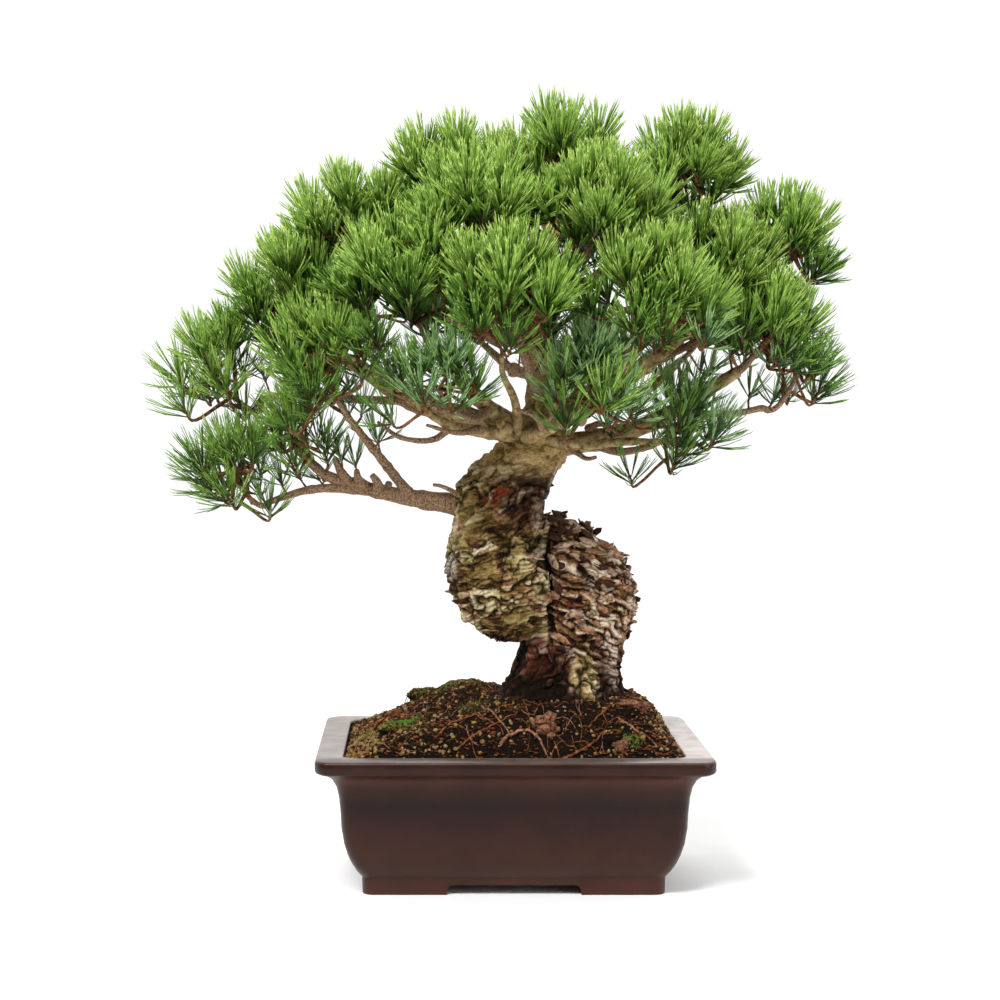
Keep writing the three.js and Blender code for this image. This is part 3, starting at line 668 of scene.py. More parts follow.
LUMP, LUMP_FACES = lump_shape()


def painted_shade_at(x, y):
    """How deep the painted shade on the earth is: most in front of the foot, where fewer grains lie and the
    dark earth shows.
    """
    (middle_x, middle_y), (half_x, half_y) = PAINTED_SHADE_PATCH["middle"], PAINTED_SHADE_PATCH["half"]
    return math.exp(-(((x - middle_x) / half_x) ** 2) - ((y - middle_y) / half_y) ** 2)


def grain_mix(x, y, shade_share):
    """The shares of volcanic, baked clay, pumice and bark grains: paler and barkier at the rim, with fewer
    pale and bark grains in the painted shade before the foot.
    """
    edge = max(abs(x) / BED[0], abs(y) / BED[1]) ** 3
    pale = (0.07 + 0.12 * edge + 0.2 * (x < -96) * (y < 0)) * (1 - 0.75 * shade_share)
    crumbs = (0.22 + 0.34 * edge) * (1 - 0.6 * shade_share)
    return [0.96 - pale - crumbs, pale, 0.04, crumbs]


def grain_shape(kind, rng):
    """A grain's points about its middle, and its size: clay grains are large, crumbs of bark flat."""
    size = rng.uniform(*GRAIN["size"]) * (1.2 if kind == 1 else 1)
    stretch = rng.uniform(0.6, 1.35, 3) * (1.0 if kind < 3 else np.array(GRAIN["crumb"]))
    wobble = 1 + rng.uniform(-0.18, 0.18, (12, 1))
    turn = np.array(Matrix.Rotation(rng.uniform(*ANY_TURN), 3, "Z")
                    @ Matrix.Rotation(rng.uniform(-0.7, 0.7), 3, "X"))
    return (LUMP * wobble * stretch * size) @ turn.T, size


def scatter_grains(surface, rng):
    """Sieved grains over the earth, with bare earth round the trunk's foot, and fewer in front of it, where
    the dark earth shows as painted shade.
    """
    heap = Heap()
    for _ in range(GRAIN["count"]):
        x, y = rng.uniform(-BED[0], BED[0]), rng.uniform(-BED[1], BED[1])
        hit, normal = drop(surface, x, y)
        if hit is None or from_foot(x, y, SEAT["bare"]) < 0.8:
            continue
        shade_share = painted_shade_at(x, y)
        # Fewer grains in the painted shade, so that the dark earth shows
        if rng.random() < 0.6 * shade_share:
            continue
        kind = rng.choice(4, p=grain_mix(x, y, shade_share))
        points, size = grain_shape(kind, rng)
        heap.add(points + hit + normal * size * 0.3, LUMP_FACES, kind)
    finished(heap.piece("soil_grains", [DARK_GRAIN, BAKED_GRAIN, PUMICE, BARK_BIT]), "soil")


# Roots that lie on the earth: each row is its points from above with their heights over the earth,
# its radius and the finish it has
SURFACE_ROOTS = [
    ([(-110, -6, -2), (-103, -26, 6), (-92, -38, 9), (-80, -36, 4), (-72, -30, -2)], 1.2, 0),
    ([(-14, -82, -3), (-4, -78, 2), (8, -77, 4), (18, -80, 3), (26, -88, -2)], 1.3, 1),
    ([(-30, -34, -2), (-20, -52, 2), (-12, -66, 2), (-2, -78, 1)], 1.0, 1),
    ([(24, -88, 0), (44, -86, 2), (60, -80, 2), (70, -72, 0)], 1.1, 0),
    ([(78, -40, 0), (74, -52, 2), (62, -66, 1), (50, -74, -1)], 0.8, 0),
    ([(80, -60, 0), (94, -68, 2), (108, -78, 1)], 0.8, 1),
    ([(-60, -74, 0), (-42, -62, 2), (-22, -58, 1), (-6, -46, -1)], 0.8, 0),
    ([(-44, -82, 0), (-30, -76, 1), (-14, -70, 1.5), (2, -60, 0)], 0.7, 0),
    ([(62, 50, 0), (80, 62, 2), (98, 66, 1), (112, 60, -1)], 1.2, 1),
    ([(-20, 46, 0), (-42, 58, 2), (-66, 62, 1), (-88, 70, -1)], 1.1, 1),
]
# Knuckles of root that stand out of the earth: place from above and half sizes
ROOT_KNUCKLES = [
    ((24, -73), (11, 8, 12)), ((80, -80), (9, 5, 8)), ((-40, 12), (11, 8, 3)), ((92, -46), (15, 7, 7)),
    ((60, 60), (9, 6, 5)), ((-12, 52), (8, 6, 5)), ((96, 8), (7, 8, 5)),
]
# Cushions of moss: place from above, half sizes, and how dry it is
MOSS_CUSHIONS = [
    ((-84, -42), (20, 13), 0), ((90, -74), (8, 6), 0), ((-44, 8), (26, 18), 1), ((-66, 20), (20, 16), 1),
    ((-16, 30), (18, 12), 1), ((112, 30), (12, 20), 0), ((-100, 60), (16, 14), 0), ((20, 70), (24, 10), 1),
    ((-112, -20), (9, 14), 1), ((-30, -40), (14, 9), 1),
]


def lay_root(heap, surface, rng, plan, radius, kind):
    """A root that rises and sinks along the earth, and thins."""
    line = Curve(plan).spread(28)
    for point in line:
        hit, _ = drop(surface, point[0], point[1])
        if hit is not None:
            point[2] += hit[2]
    line += rng.normal(0, 0.25, line.shape)
    heap.add(*tube(line, radius * np.linspace(1.15, 0.55, len(line)), 7), kind)


def set_knuckle(heap, surface, rng, place, half):
    """A gnarled knob of root: a crowd of lumps."""
    hit, _ = drop(surface, *place)
    for _ in range(26):
        aside = unit(rng.normal(0, 1, 3)) * rng.uniform(0.2, 0.75) * half
        lump = LUMP * (1 + rng.uniform(-0.3, 0.3, (12, 1))) * rng.uniform(0.6, 1.2, 3)
        points = lump * np.array(half) * rng.uniform(0.3, 0.5)
        heap.add(points + hit + aside, LUMP_FACES, 2)


def strew_fibre(heap, surface, rng):
    """A thin bowed fibre that lies where it falls, unless that is at the trunk's foot."""
    x, y = rng.uniform(-122, 122), rng.uniform(-84, 84)
    hit, _ = drop(surface, x, y)
    if hit is None or from_foot(x, y, SEAT["bare"]) < 0.95:
        return
    turn, length = rng.uniform(*ANY_TURN), rng.uniform(*FIBRE["length"])
    way = np.array([math.cos(turn), math.sin(turn), 0])
    aside = np.array([-way[1], way[0], 0])
    steps = np.linspace(-0.5, 0.5, 7)
    bow = rng.uniform(-0.25, 0.25) * length
    line = hit + way * steps[:, None] * length + aside * (bow * (1 - 4 * steps**2))[:, None]
    for point in line:
        under, _ = drop(surface, *np.clip(point[:2], -np.array(BED), BED))
        point[2] = (under if under is not None else hit)[2] + FIBRE["lies"]
    heap.add(*tube(line, rng.uniform(*FIBRE["radius"]), 4), int(rng.random() < 0.3))


def lay_roots(surface, rng):
    heap = Heap()
    for plan, radius, kind in SURFACE_ROOTS:
        lay_root(heap, surface, rng, plan, radius, kind)
    for place, half in ROOT_KNUCKLES:
        set_knuckle(heap, surface, rng, place, half)
    for _ in range(FIBRE["count"]):
        strew_fibre(heap, surface, rng)
    finished(heap.piece("surface_roots", [ROOT_FIBRE, SURFACE_ROOT, ROOT_KNOB]), "soil")


def grow_moss(surface, rng):
    """Cushions of moss, each a crowd of short blades that lean out of the cushion's middle."""
    heap = Heap()
    for (x, y), half, dry in MOSS_CUSHIONS:
        for _ in range(int(half[0] * half[1] * MOSS_BLADE["density"][dry])):
            radius, turn = math.sqrt(rng.random()), rng.uniform(*ANY_TURN)
            spread = np.array([math.cos(turn), math.sin(turn)]) * radius
            hit, normal = drop(surface, x + spread[0] * half[0], y + spread[1] * half[1])
            if hit is None:
                continue
            lean = unit(np.array([*spread * 0.6, 1.0]) + rng.normal(0, 0.35, 3))
            length = rng.uniform(*MOSS_BLADE["length"]) * (1.1 - radius * 0.6)
            side, over = frame_on(lean)
            foot = hit - normal * 0.6
            base = [foot + 0.5 * (math.cos(a) * side + math.sin(a) * over) for a in (0, 2.1, 4.2)]
            heap.add([*base, foot + lean * length], [(0, 1, 3), (1, 2, 3), (2, 0, 3), (2, 1, 0)],
                     int(rng.random() < MOSS_BLADE["brown"][dry]))
    finished(heap.piece("moss", [MOSS, DRY_MOSS]), "soil")


# Limbs by the solids' rule


class Mass:
    """A mass of needles with the bough that carries it."""

    def __init__(self, index, row):
        self.index = index
        self.name, centre, self.radius, self.tufts, self.parent, self.leave, self.root, via = row
        self.centre = np.array(centre, float)
        self.via = [np.array(p, float) for p in via]
        self.tip = max(BOUGH["thinnest"], self.root * BOUGH["tip_share"])
        middle, half = np.array(CROWN["middle"]), np.array(CROWN["half"])
        self.outward = unit(unit((self.centre - middle) / half) + UP * CROWN["lift"])
        self.heart = self.centre + self.outward * SHOOT["reach"] * self.radius
        self.curve = None

    def reach_out(self, parent):
        """The bough's curve, from its parent to where it enters its mass."""
        root = np.array(ROOTS[self.parent], float) if self.parent in ROOTS else parent.at(self.leave)
        approach = unit(self.centre - (self.via[-1] if self.via else root))
        tip = self.centre - approach * BEND["entry"] * self.radius
        tip[2] -= BEND["drop"] * self.radius
        points = [root, *self.via, tip]
        if not self.via:
            draw = seeded(900 + self.index)
            length = np.linalg.norm(tip - root)
            middle = (root + tip) / 2
            middle[2] -= BEND["sag"] * length
            middle[0] += (draw() - 0.5) * BEND["wander"] * length
            middle[1] += (draw() - 0.5) * BEND["wander"] * length
            points.insert(1, middle)
        self.curve = Curve(points)


leader = Curve(LEADER_LINE)
masses = [Mass(index, row) for index, row in enumerate(MASSES)]
carriers = {"trunk": leader}
for mass in masses:
    if mass.parent != "trunk_tip":
        mass.reach_out(carriers.get(mass.parent))
        carriers[mass.name] = mass.curve


def capsules_of(curve, steps, root, tip):
    ends = curve.spread(steps + 1)
    return [(ends[i], ends[i + 1], root + (tip - root) * i / steps) for i in range(steps)]


capsules = capsules_of(leader, LEADER["steps"], LEADER["root"], LEADER["tip"])
for mass in masses:
    if mass.curve:
        capsules += capsules_of(mass.curve, BOUGH["steps"], mass.root, mass.tip)
capsules.append(NECK)
LIMB_A, LIMB_B, LIMB_RADIUS = (np.array([c[i] for c in capsules], float) for i in range(3))


def is_clear(a, b, radius):
    """Whether a straight twig keeps clear of every limb."""
    u, w, r = b - a, LIMB_B - LIMB_A, a - LIMB_A
    uu, ww, uw = u @ u, (w * w).sum(1), w @ u
    ur, wr = r @ u, (w * r).sum(1)
    spread = uu * ww - uw * uw
    s = np.where(spread > 1e-9, (uw * wr - ur * ww) / np.where(spread > 1e-9, spread, 1), 0)
    s = np.clip(s, 0, 1)
    t = np.clip((uw * s + wr) / ww, 0, 1)
    s = np.clip((uw * t - ur) / uu, 0, 1)
    gaps = np.linalg.norm(a + u * s[:, None] - LIMB_A - w * t[:, None], axis=1)
    return bool((gaps > radius + LIMB_RADIUS + TWIG["clear"]).all())


# Trunk

# How the old bark breaks up in each part of the trunk: the middle its courses run round and how far
# from it, how high and wide its plates are, how the courses slant, how far a plate stands out, and how
# high and wide its chips are
Break = namedtuple("Break", "middle radius high wide slant rise chips")
LEFT, RIGHT, LOW, HIGH = range(4)
BREAKS = {
    LEFT: Break((-8, -4), 42, 11.5, 25, 0.28, 2.3, (3.4, 10)),
    RIGHT: Break((55, 2), 40, 7.5, 21, -0.38, 2.4, (3.4, 10)),
    LOW: Break((41, -2), 44, 15, 17, 0.3, 1.8, (4.5, 7)),
    HIGH: Break((-2, 0), 36, 13, 24, 0.35, 1.3, (3.4, 10)),
}
# Soft patches on the trunk, each a middle and half sizes
PATCHES = {
    "calm": ((-30, -24, 277), (25, 30, 15)),
    "toe": ((57, -42, 160), (14, 24, 32)),
    "side toe": ((82, -34, 164), (10, 24, 32)),
    "under the fork": ((12, -24, 300), (30, 50, 24)),
    "under the neck": ((26, -40, 262), (20, 30, 12)),
    "bare neck": ((14, -24, 293), (30, 60, 24)),
    "split neck": ((-13, -34, 301), (18, 16, 10)),
    "split side": ((22, -34, 299), (10, 16, 13)),
    "split seam": ((44, -38, 217), (16, 12, 4)),
    "red foot": ((20, -34, 174), (26, 24, 18)),
    # Painted highlights where the two swellings face the side lights
    "painted highlight, left swelling": ((-50, -24, 243), (9, 16, 15)),
    "painted highlight, right swelling": ((72, -38, 232), (18, 14, 12)),
}
# Freshly split red bark: its patch, its strength, and the grain, seed and edge of its flecks
SPLITS = [("split neck", 1, 6, 14, (-0.5, 0.1)), ("split side", 0.9, 5, 15, (-0.2, 0.2)),
          ("split seam", 0.7, 4, 16, (-0.1, 0.3))]
PLATE_KINDS = 997
# Loose flakes on the trunk's face and on its shoulder: how many, how long, how far lifted at one end,
# and the shares of grey, tan and dark ones
Flakes = namedtuple("Flakes", "count length lift shares")
ON_FACE = Flakes(240, (3.0, 9.0), (0.2, 2.6), (0.42, 0.28, 0.3))
ON_SHOULDER = Flakes(44, (6.0, 12.0), (2.0, 6.0), (0.2, 0.2, 0.6))


def shingles(points, part, high, wide, seed):
    """Plates in uneven, slanting courses: each point's plate, how high and far along its plate it lies
    from 0 to 1, and how many millimetres from the plate's edge."""
    x, y = part.middle
    bend = 1.3 * noise_at(points, 19, seed) + 0.35 * noise_at(points, 6, seed + 1)
    course = (points[:, 2] - part.slant * (points[:, 0] - x)) / high + bend
    row = np.floor(course).astype(int)
    turn = np.arctan2(points[:, 0] - x, y - points[:, 1])
    start = np.random.default_rng(seed).random(211)
    shift = 0.7 * noise_at(points, 13, seed + 2) + 0.25 * noise_at(points, 5, seed + 3)
    run = turn * part.radius / wide + start[row % 211] * 3 + shift
    column = np.floor(run).astype(int)
    up, along = course - row, run - column
    edge = np.minimum(np.minimum(up, 1 - up) * high, np.minimum(along, 1 - along) * wide)
    return (row * 131 + column * 57) % PLATE_KINDS, up, along, edge


def plate_relief(points, part, high, wide, rise, seed):
    """How far each plate's surface stands out, how open the fissure is, and the plate's own tone."""
    plate, up, along, edge = shingles(points, part, high, wide, seed)
    draw = np.random.default_rng(seed + 50).uniform(-1, 1, (PLATE_KINDS, 4))[plate]
    open_share = smooth(noise_at(points, 11, seed + 4) + 0.5 * draw[:, 3], -0.55, 0.15)
    cut = (1 - smooth(edge, 0.25, 0.16 * min(high, wide) + 0.6)) * (0.25 + 0.75 * open_share)
    tilt = (up - 0.5) * (draw[:, 0] * 1.5 - 0.6) + (along - 0.5) * draw[:, 1]
    return rise * (0.45 * draw[:, 2] + tilt) * (1 - cut), cut, draw[:, 2] * 0.5 + 0.5


class Skin:
    """The trunk's skin: its points, which part and age of bark each has, and how it stands out."""

    def __init__(self, trunk):
        self.points, self.normals = points_of(trunk), normals_of(trunk)
        self.x, self.y, self.z = self.points.T
        self.wander = self.lumps(13, 5)
        self.old = 1 - smooth(self.z + 7 * self.wander, 306, 336)
        self.on_right = self.x + 3 * self.wander > 29
        self.part = np.where(self.z + 6 * self.wander > 268, HIGH, self.on_right.astype(int))
        foot_top = 182 - 24 * smooth(self.x, 44, 62)
        self.part = np.where(self.z + 5 * self.wander < foot_top, LOW, self.part)
        self.add_plates()
        self.add_grain()
        self.add_folds()
        self.points += self.normals * (self.relief * smooth(self.z, 142.6, 146))[:, None]

    def lumps(self, grain, seed, stretch=1.0):
        return noise_at(self.points * stretch, grain, seed)

    def spot(self, name):
        """How near each point is to a patch: one in its middle and nothing outside."""
        middle, half = np.array(PATCHES[name], float)
        return 1 - smooth(np.linalg.norm((self.points - middle) / half, axis=1), 0.55, 1.15)

    def add_plates(self):
        """Plates and the fissures between them, and smaller chips, each part in its own way."""
        coarse, fine = np.zeros((2, 3, len(self.points)))
        for number, part in BREAKS.items():
            here = self.part == number
            points, seed = self.points[here], 3 + 10 * number
            coarse[:, here] = plate_relief(points, part, part.high, part.wide, part.rise, seed)
            fine[:, here] = plate_relief(points, part, *part.chips, BARK["chip_rise"], seed + 4)
        relief, self.cut, self.plate_tone = coarse
        chips, self.fine_cut, self.chip_tone = fine
        calm = self.spot("calm")
        self.cut *= 1 - 0.85 * calm
        relief = self.old * (1 - 0.7 * calm) * (relief - BARK["fissure"] * self.cut)
        self.relief = relief + (0.3 + 0.7 * self.old) * chips

    def add_grain(self):
        """Upright fibres and swellings in the old bark, and wrinkles in the young."""
        old = self.old
        self.fibre = 1 - 2 * np.abs(self.lumps(2.6, 8, (0.28, 0.28, 1)))
        self.relief += old * 0.35 * self.fibre + (0.4 + 0.9 * old) * self.lumps(15, 9)
        wrinkle = np.abs(self.lumps(15, 19, (0.8, 0.8, 1.3)) + 0.35 * self.lumps(4, 22))
        self.crease = (1 - old) * (1 - smooth(wrinkle, 0.0, 0.12)) * smooth(self.lumps(14, 23), -0.2, 0.3)
        self.relief += (1 - old) * (2.6 * smooth(wrinkle, 0, 0.4) - 1.2)

    def add_folds(self):
        """The crevice between the two stems, and the folds and toes of the foot."""
        middle = 30 + 3.0 * self.lumps(14, 11)
        crevice = np.exp(-((self.x - middle) / 1.5) ** 2)
        crevice *= smooth(self.z, 182, 194) * (1 - smooth(self.z, 268, 282)) * smooth(-self.y, 0, 12)
        self.crevice = crevice
        turn = np.arctan2(self.y, self.x - SEAT["x"])
        folds = 1.8 * np.sin(turn * 7 + 2.5 * self.lumps(26, 12))
        self.toe, self.side_toe = self.spot("toe"), self.spot("side toe")
        low = 1 - smooth(self.z, 168, 196)
        self.relief += low * (folds + 3.5 * self.toe + 2.5 * self.side_toe - 1.5) - 4.0 * crevice

    def rust(self):
        rust = 0.35 * self.spot("red foot")
        for name, strength, grain, seed, edge in SPLITS:
            rust += strength * self.spot(name) * smooth(self.lumps(grain, seed), *edge)
        return np.clip(rust, 0, 1) * (1 - 0.7 * self.cut)

    def shade(self, rust):
        """Painted deep shade under the fork, the neck and the swellings, darkest where the foot meets the
        earth.
        """
        dark = 0.9 * self.spot("under the fork") + 0.6 * self.spot("under the neck")
        dark *= 0.85 + 0.6 * self.lumps(9, 17)
        bare = 0.95 * self.toe + 0.6 * self.side_toe
        under = 1 - smooth(self.z, 184 - 16 * smooth(self.x, 44, 62), 194)
        ground = 1 - smooth(self.z + 5 * self.wander, 150, 168)
        dark += under * (1 - bare) * (0.68 + 0.5 * ground + 0.3 * self.lumps(6, 20))
        return np.clip(dark * (1 - 0.7 * rust), 0, 0.93)

    def algae(self):
        """Algae on the left stem above all, in patches, and none under the bare neck."""
        algae = (1 - self.on_right) * (0.6 + 0.9 * self.lumps(20, 13)) + 0.25 * (1 + self.lumps(9, 18))
        algae *= 1 - 0.8 * self.spot("bare neck")
        return np.clip(np.where(self.z > 190, algae, 0.8 * self.toe), 0, 1) * self.old

    def shares(self):
        """What the old bark's finish reads at each point."""
        # The fissures, creases, the crevice between the stems and sunken bark darken, partly their own dark
        # inner bark and partly painted shade, and bark that stands out is lighter, partly painted light
        deep = self.old * np.maximum(self.cut, 0.8 * self.fine_cut) + 1.2 * self.crevice
        deep += 0.7 * self.crease + 0.5 * self.old * smooth(-self.relief, 1.0, 3.0)
        tone = 0.36 * self.plate_tone + 0.26 * self.chip_tone + 0.12 * self.fibre
        tone += 0.30 * smooth(self.relief, -0.8, 2.2)
        # The pale patches on the two swellings are painted highlight
        pale = self.spot("painted highlight, left swelling") + 0.5 * self.spot("painted highlight, right swelling")
        rust = self.rust()
        return {"tone": np.clip(tone, 0, 1), "fissure": np.clip(deep, 0, 0.94), "rust": rust,
                "shade": self.shade(rust), "algae": self.algae(), "young": 1 - self.old,
                "pale": np.clip(pale * 0.7, 0, 0.75) * (1 - self.cut)}


def build_trunk():
    trunk = skin_of("trunk", "trunk_bark", BARK["voxel"])
    skin = Skin(trunk)
    write_points(trunk, skin.points)
    for name, values in skin.shares().items():
        attribute = trunk.data.attributes.new(name, "FLOAT", "POINT")
        attribute.data.foreach_set("value", np.asarray(values, np.float32))
    grow_flakes(skin, normals_of(trunk))
    finished(trunk, "bark", "trunk", smooth_angle=50, material=OLD_BARK)


def flake_shape(rng, at, along, normal, length, width, lift):
    """A loose plate of bark: an uneven six-sided scale, thicker in its middle, lifted at one end."""
    across = np.cross(normal, along)
    turns = ring(6) + rng.uniform(-0.25, 0.25, 6)
    reach = rng.uniform(0.75, 1.2, 6)
    u, w = length * reach * np.cos(turns), width * reach * np.sin(turns)
    height = lift * (u + length) / (2 * length)
    rim = at + along * u[:, None] + across * w[:, None] + normal * height[:, None]
    top = at + normal * (0.9 + lift * 0.5)
    bottom = at - normal * 1.2
    points = np.vstack([rim + normal * 0.35, rim - normal * 0.45, top, bottom])
    here = np.arange(6)
    after = (here + 1) % 6
    triangles = np.concatenate([
        np.stack([here, after, np.full(6, 12)], 1), np.stack([after + 6, here + 6, np.full(6, 13)], 1),
        np.stack([here + 6, after + 6, after], 1), np.stack([here + 6, after, here], 1),
    ])
    return points, triangles


def flake_places(skin, normals, rng):
    """Points in drifts, most on the right swelling, and then ragged ones on its shoulder."""
    x, _, z = skin.points.T
    weight = skin.old * (0.12 + 0.88 * skin.on_right) * (0.1 + smooth(skin.lumps(18, 21), -0.1, 0.35))
    weight *= smooth(z, 176, 190) * (1 + 4 * smooth(x + (z - 240) * 0.6, 78, 96))
    weight *= 1 - 0.9 * smooth(z, 276, 290)
    shoulder = skin.old * skin.on_right * smooth(normals[:, 2], 0.15, 0.5) * smooth(z, 248, 262)
    return [(flakes, rng.choice(len(z), flakes.count, replace=False, p=share / share.sum()))
            for flakes, share in ((ON_FACE, weight), (ON_SHOULDER, shoulder))]


def grow_flakes(skin, normals):
    """Loose plates that stand proud of the old bark, long and lifted on the shoulder."""
    rng = np.random.default_rng(77)
    heap = Heap()
    places = flake_places(skin, normals, rng)
    for flakes, index in [(flakes, index) for flakes, chosen in places for index in chosen]:
        at, normal = skin.points[index], unit(normals[index] + rng.normal(0, 0.2, 3))
        level = unit(np.cross(UP, normal) + 1e-6)
        slant = rng.normal(-0.4, 0.35)
        along = math.cos(slant) * level + math.sin(slant) * np.cross(normal, level)
        if rng.random() < 0.5:
            along = -along
        length = rng.uniform(*flakes.length)
        kind = rng.choice(3, p=flakes.shares)
        lift = rng.uniform(*flakes.lift)
        width = length * rng.uniform(0.28, 0.5)
        heap.add(*flake_shape(rng, at, along, normal, length, width, lift), kind)
    finished(heap.piece("bark_flakes", [FLAKE_GREY, FLAKE_TAN, FLAKE_DARK]), "bark")


# Boughs


def rough_limb(heap, curve, root, tip, seed, slot, sides=14, collar=0.35):
    """A limb that tapers along its curve, with a collar at its root and ringed, knotted bark."""
    line = curve.spread(max(8, int(curve.length / BOUGH["pace"])))
    radii = root + (tip - root) * np.linspace(0, 1, len(line))
    run = np.concatenate([[0], np.cumsum(np.linalg.norm(np.diff(line, axis=0), axis=1))])
    radii = radii * (1 + collar * np.exp(-run / (root * 1.6)))
    rng = np.random.default_rng(seed)
    for _ in range(int(run[-1] / KNOT["pace"])):
        away = (run - rng.uniform(0, run[-1])) / (root * KNOT["length"])
        radii = radii * (1 + KNOT["swell"] * np.exp(-(away**2)))
    wrapped = np.array([[(math.cos(a) * root, math.sin(a) * root, along * 0.8 + seed * 9)
                         for a in ring(sides)] for along in run]).reshape(-1, 3)
    rough = 0.11 * noise_at(wrapped, root * 0.8 + 1.5) + 0.06 * noise_at(wrapped, 1.8, 3)
    heap.add(*tube(line, radii, sides, rough.reshape(-1, sides) * radii[:, None]), slot)


# Side growth on the limbs that has no mass of its own: points, root and tip radius, and finish
SPURS = [
    ([(-128, -14, 310), (-134, -17, 319), (-138, -18, 329)], 4.0, 2.2, 1),
    ([(-115, -14, 306), (-120, -17, 313), (-121, -18, 320)], 4.4, 2.0, 1),
    ([(-104, -14, 303), (-105, -18, 310), (-109, -20, 316)], 4.6, 2.2, 1),
    ([(-144, -14, 312), (-152, -15, 322), (-160, -17, 329), (-163, -18, 337)], 3.4, 2.0, 1),
    ([(-40, -12, 299), (-48, -14, 304), (-55, -15, 307), (-61, -15, 308)], 2.2, 1.3, 1),
    ([(-96, -10, 308), (-98, -16, 307)], 2.4, 1.6, 1),
    ([(-4, -22, 352), (-8, -31, 354), (-9, -34, 360)], 4.6, 3.4, 0),
    ([(46, -14, 338), (58, -22, 329), (66, -28, 330)], 2.6, 1.4, 1),
    ([(62, -8, 352), (70, -30, 356), (84, -48, 348)], 3.0, 1.6, 1),
    ([(4, -12, 348), (-22, -34, 350), (-50, -46, 356), (-74, -62, 371)], 6.5, 2.2, 0),
    ([(14, -22, 346), (22, -52, 350), (44, -78, 362), (62, -96, 384)], 5.5, 2.0, 0),
    ([(30, -16, 342), (58, -36, 340), (92, -54, 343), (126, -74, 342)], 5.0, 1.8, 0),
    ([(-20, -30, 352), (-34, -56, 366), (-58, -70, 368), (-72, -88, 384)], 3.4, 1.4, 1),
    ([(-46, -44, 355), (-62, -48, 344), (-86, -54, 346), (-104, -52, 358)], 3.0, 1.2, 1),
    ([(24, -54, 352), (16, -78, 362), (2, -92, 368)], 3.0, 1.2, 1),
    ([(6, -16, 350), (2, -42, 374), (-8, -64, 394), (-10, -88, 408)], 4.2, 1.6, 0),
    ([(20, -14, 348), (36, -34, 374), (40, -60, 396)], 4.6, 1.8, 0),
    ([(-24, -38, 352), (-44, -66, 350), (-66, -84, 356)], 3.2, 1.2, 1),
]


def build_boughs():
    """The thick limbs out of the fork keep smooth young bark, and the others are finely cracked."""
    heap = Heap()
    for mass in masses:
        if mass.curve:
            slot = 0 if mass.root >= 7 and mass.parent != "trunk_side" else 1
            rough_limb(heap, mass.curve, mass.root, mass.tip, 60 + mass.index, slot)
    for number, (points, root, tip, slot) in enumerate(SPURS):
        rough_limb(heap, Curve(points), root, tip, 200 + number, slot, 10, 0.3)
    nodes = [f"bough_{mass.name}" for mass in masses if mass.curve]
    finished(heap.piece("boughs", [YOUNG_BARK, LIMB_BARK]), "limb", *nodes, smooth_angle=60)


# Crown


def space_of(mass):
    """The planes between a mass and each other one, as normals and offsets."""
    normals, offsets = [], []
    for other in masses:
        if other is mass:
            continue
        way = other.centre - mass.centre
        point = mass.centre + way * mass.radius / (mass.radius + other.radius)
        normals.append(unit(way))
        offsets.append(unit(way) @ point - GAP / 2)
    return np.array(normals), np.array(offsets)


def room_in(space, point):
    return float((space[1] - space[0] @ point).min())


class Tuft:
    """A twig with a brush of needles at its end. Its order is 0 on a mass's stem or in a valley, 1
    beside another tuft and 2 on a bough."""

    def __init__(self, start, base, aim, share, vigour, order):
        self.start, self.base, self.aim = start, base, aim
        self.share, self.vigour, self.order = share, vigour, order

    def twig(self):
        """The twig's nine points: it leaves straight and bends into the tuft's aim."""
        way = self.base - self.start
        hook = min(0.22 * np.linalg.norm(way), TWIG["hook"])
        return bezier(self.start, self.start + way * 0.4, self.base - self.aim * hook, self.base, 9)

    def hides_opening(self):
        """Whether it would hide the bare limbs that show on the left of the neck."""
        x, y, z = self.base
        return OPENING["left"] < x < OPENING["right"] and y < OPENING["front"] and z < OPENING["high"]


def depth_of(mass, space, away, aim):
    """How far out a tuft stands: where its needles touch the mass's reach, inside the mass's space."""
    pace, tall = away @ aim, DOME["tall"]
    depth = math.sqrt(mass.radius**2 - tall**2 * (1 - pace**2)) - tall * pace
    normals, offsets = space
    towards = normals @ away
    margin = np.maximum(TWIG["core"] + 2, 1 + TWIG["height"] * normals @ aim)
    room = offsets - margin - normals @ mass.centre
    ahead = towards > 1e-6
    return max(0, min(depth, DOME["widest"] * mass.radius, (room[ahead] / towards[ahead]).min(initial=1e9)))


def ways_over(mass, draw):
    """Shares of the mass's dome and ways to them, dealt out by the golden angle from its crown down."""
    side, over = frame_on(mass.outward)
    first = draw() * TURN
    for i in range(mass.tufts):
        share = (i + 0.5) / mass.tufts
        tilt = math.acos(1 - share * (1 - math.cos(DOME["cap"])))
        turn = first + i * GOLDEN_ANGLE
        yield share, (math.cos(tilt) * mass.outward + math.sin(tilt) * math.cos(turn) * side
                      + math.sin(tilt) * math.sin(turn) * over)


def stem_of(mass):
    """Where a mass's own stem starts, bends and ends."""
    carrier = mass.curve or leader
    start = carrier.at(1) + carrier.heading() * GAP
    return start, start + carrier.heading() * SHOOT["straight"], mass.heart


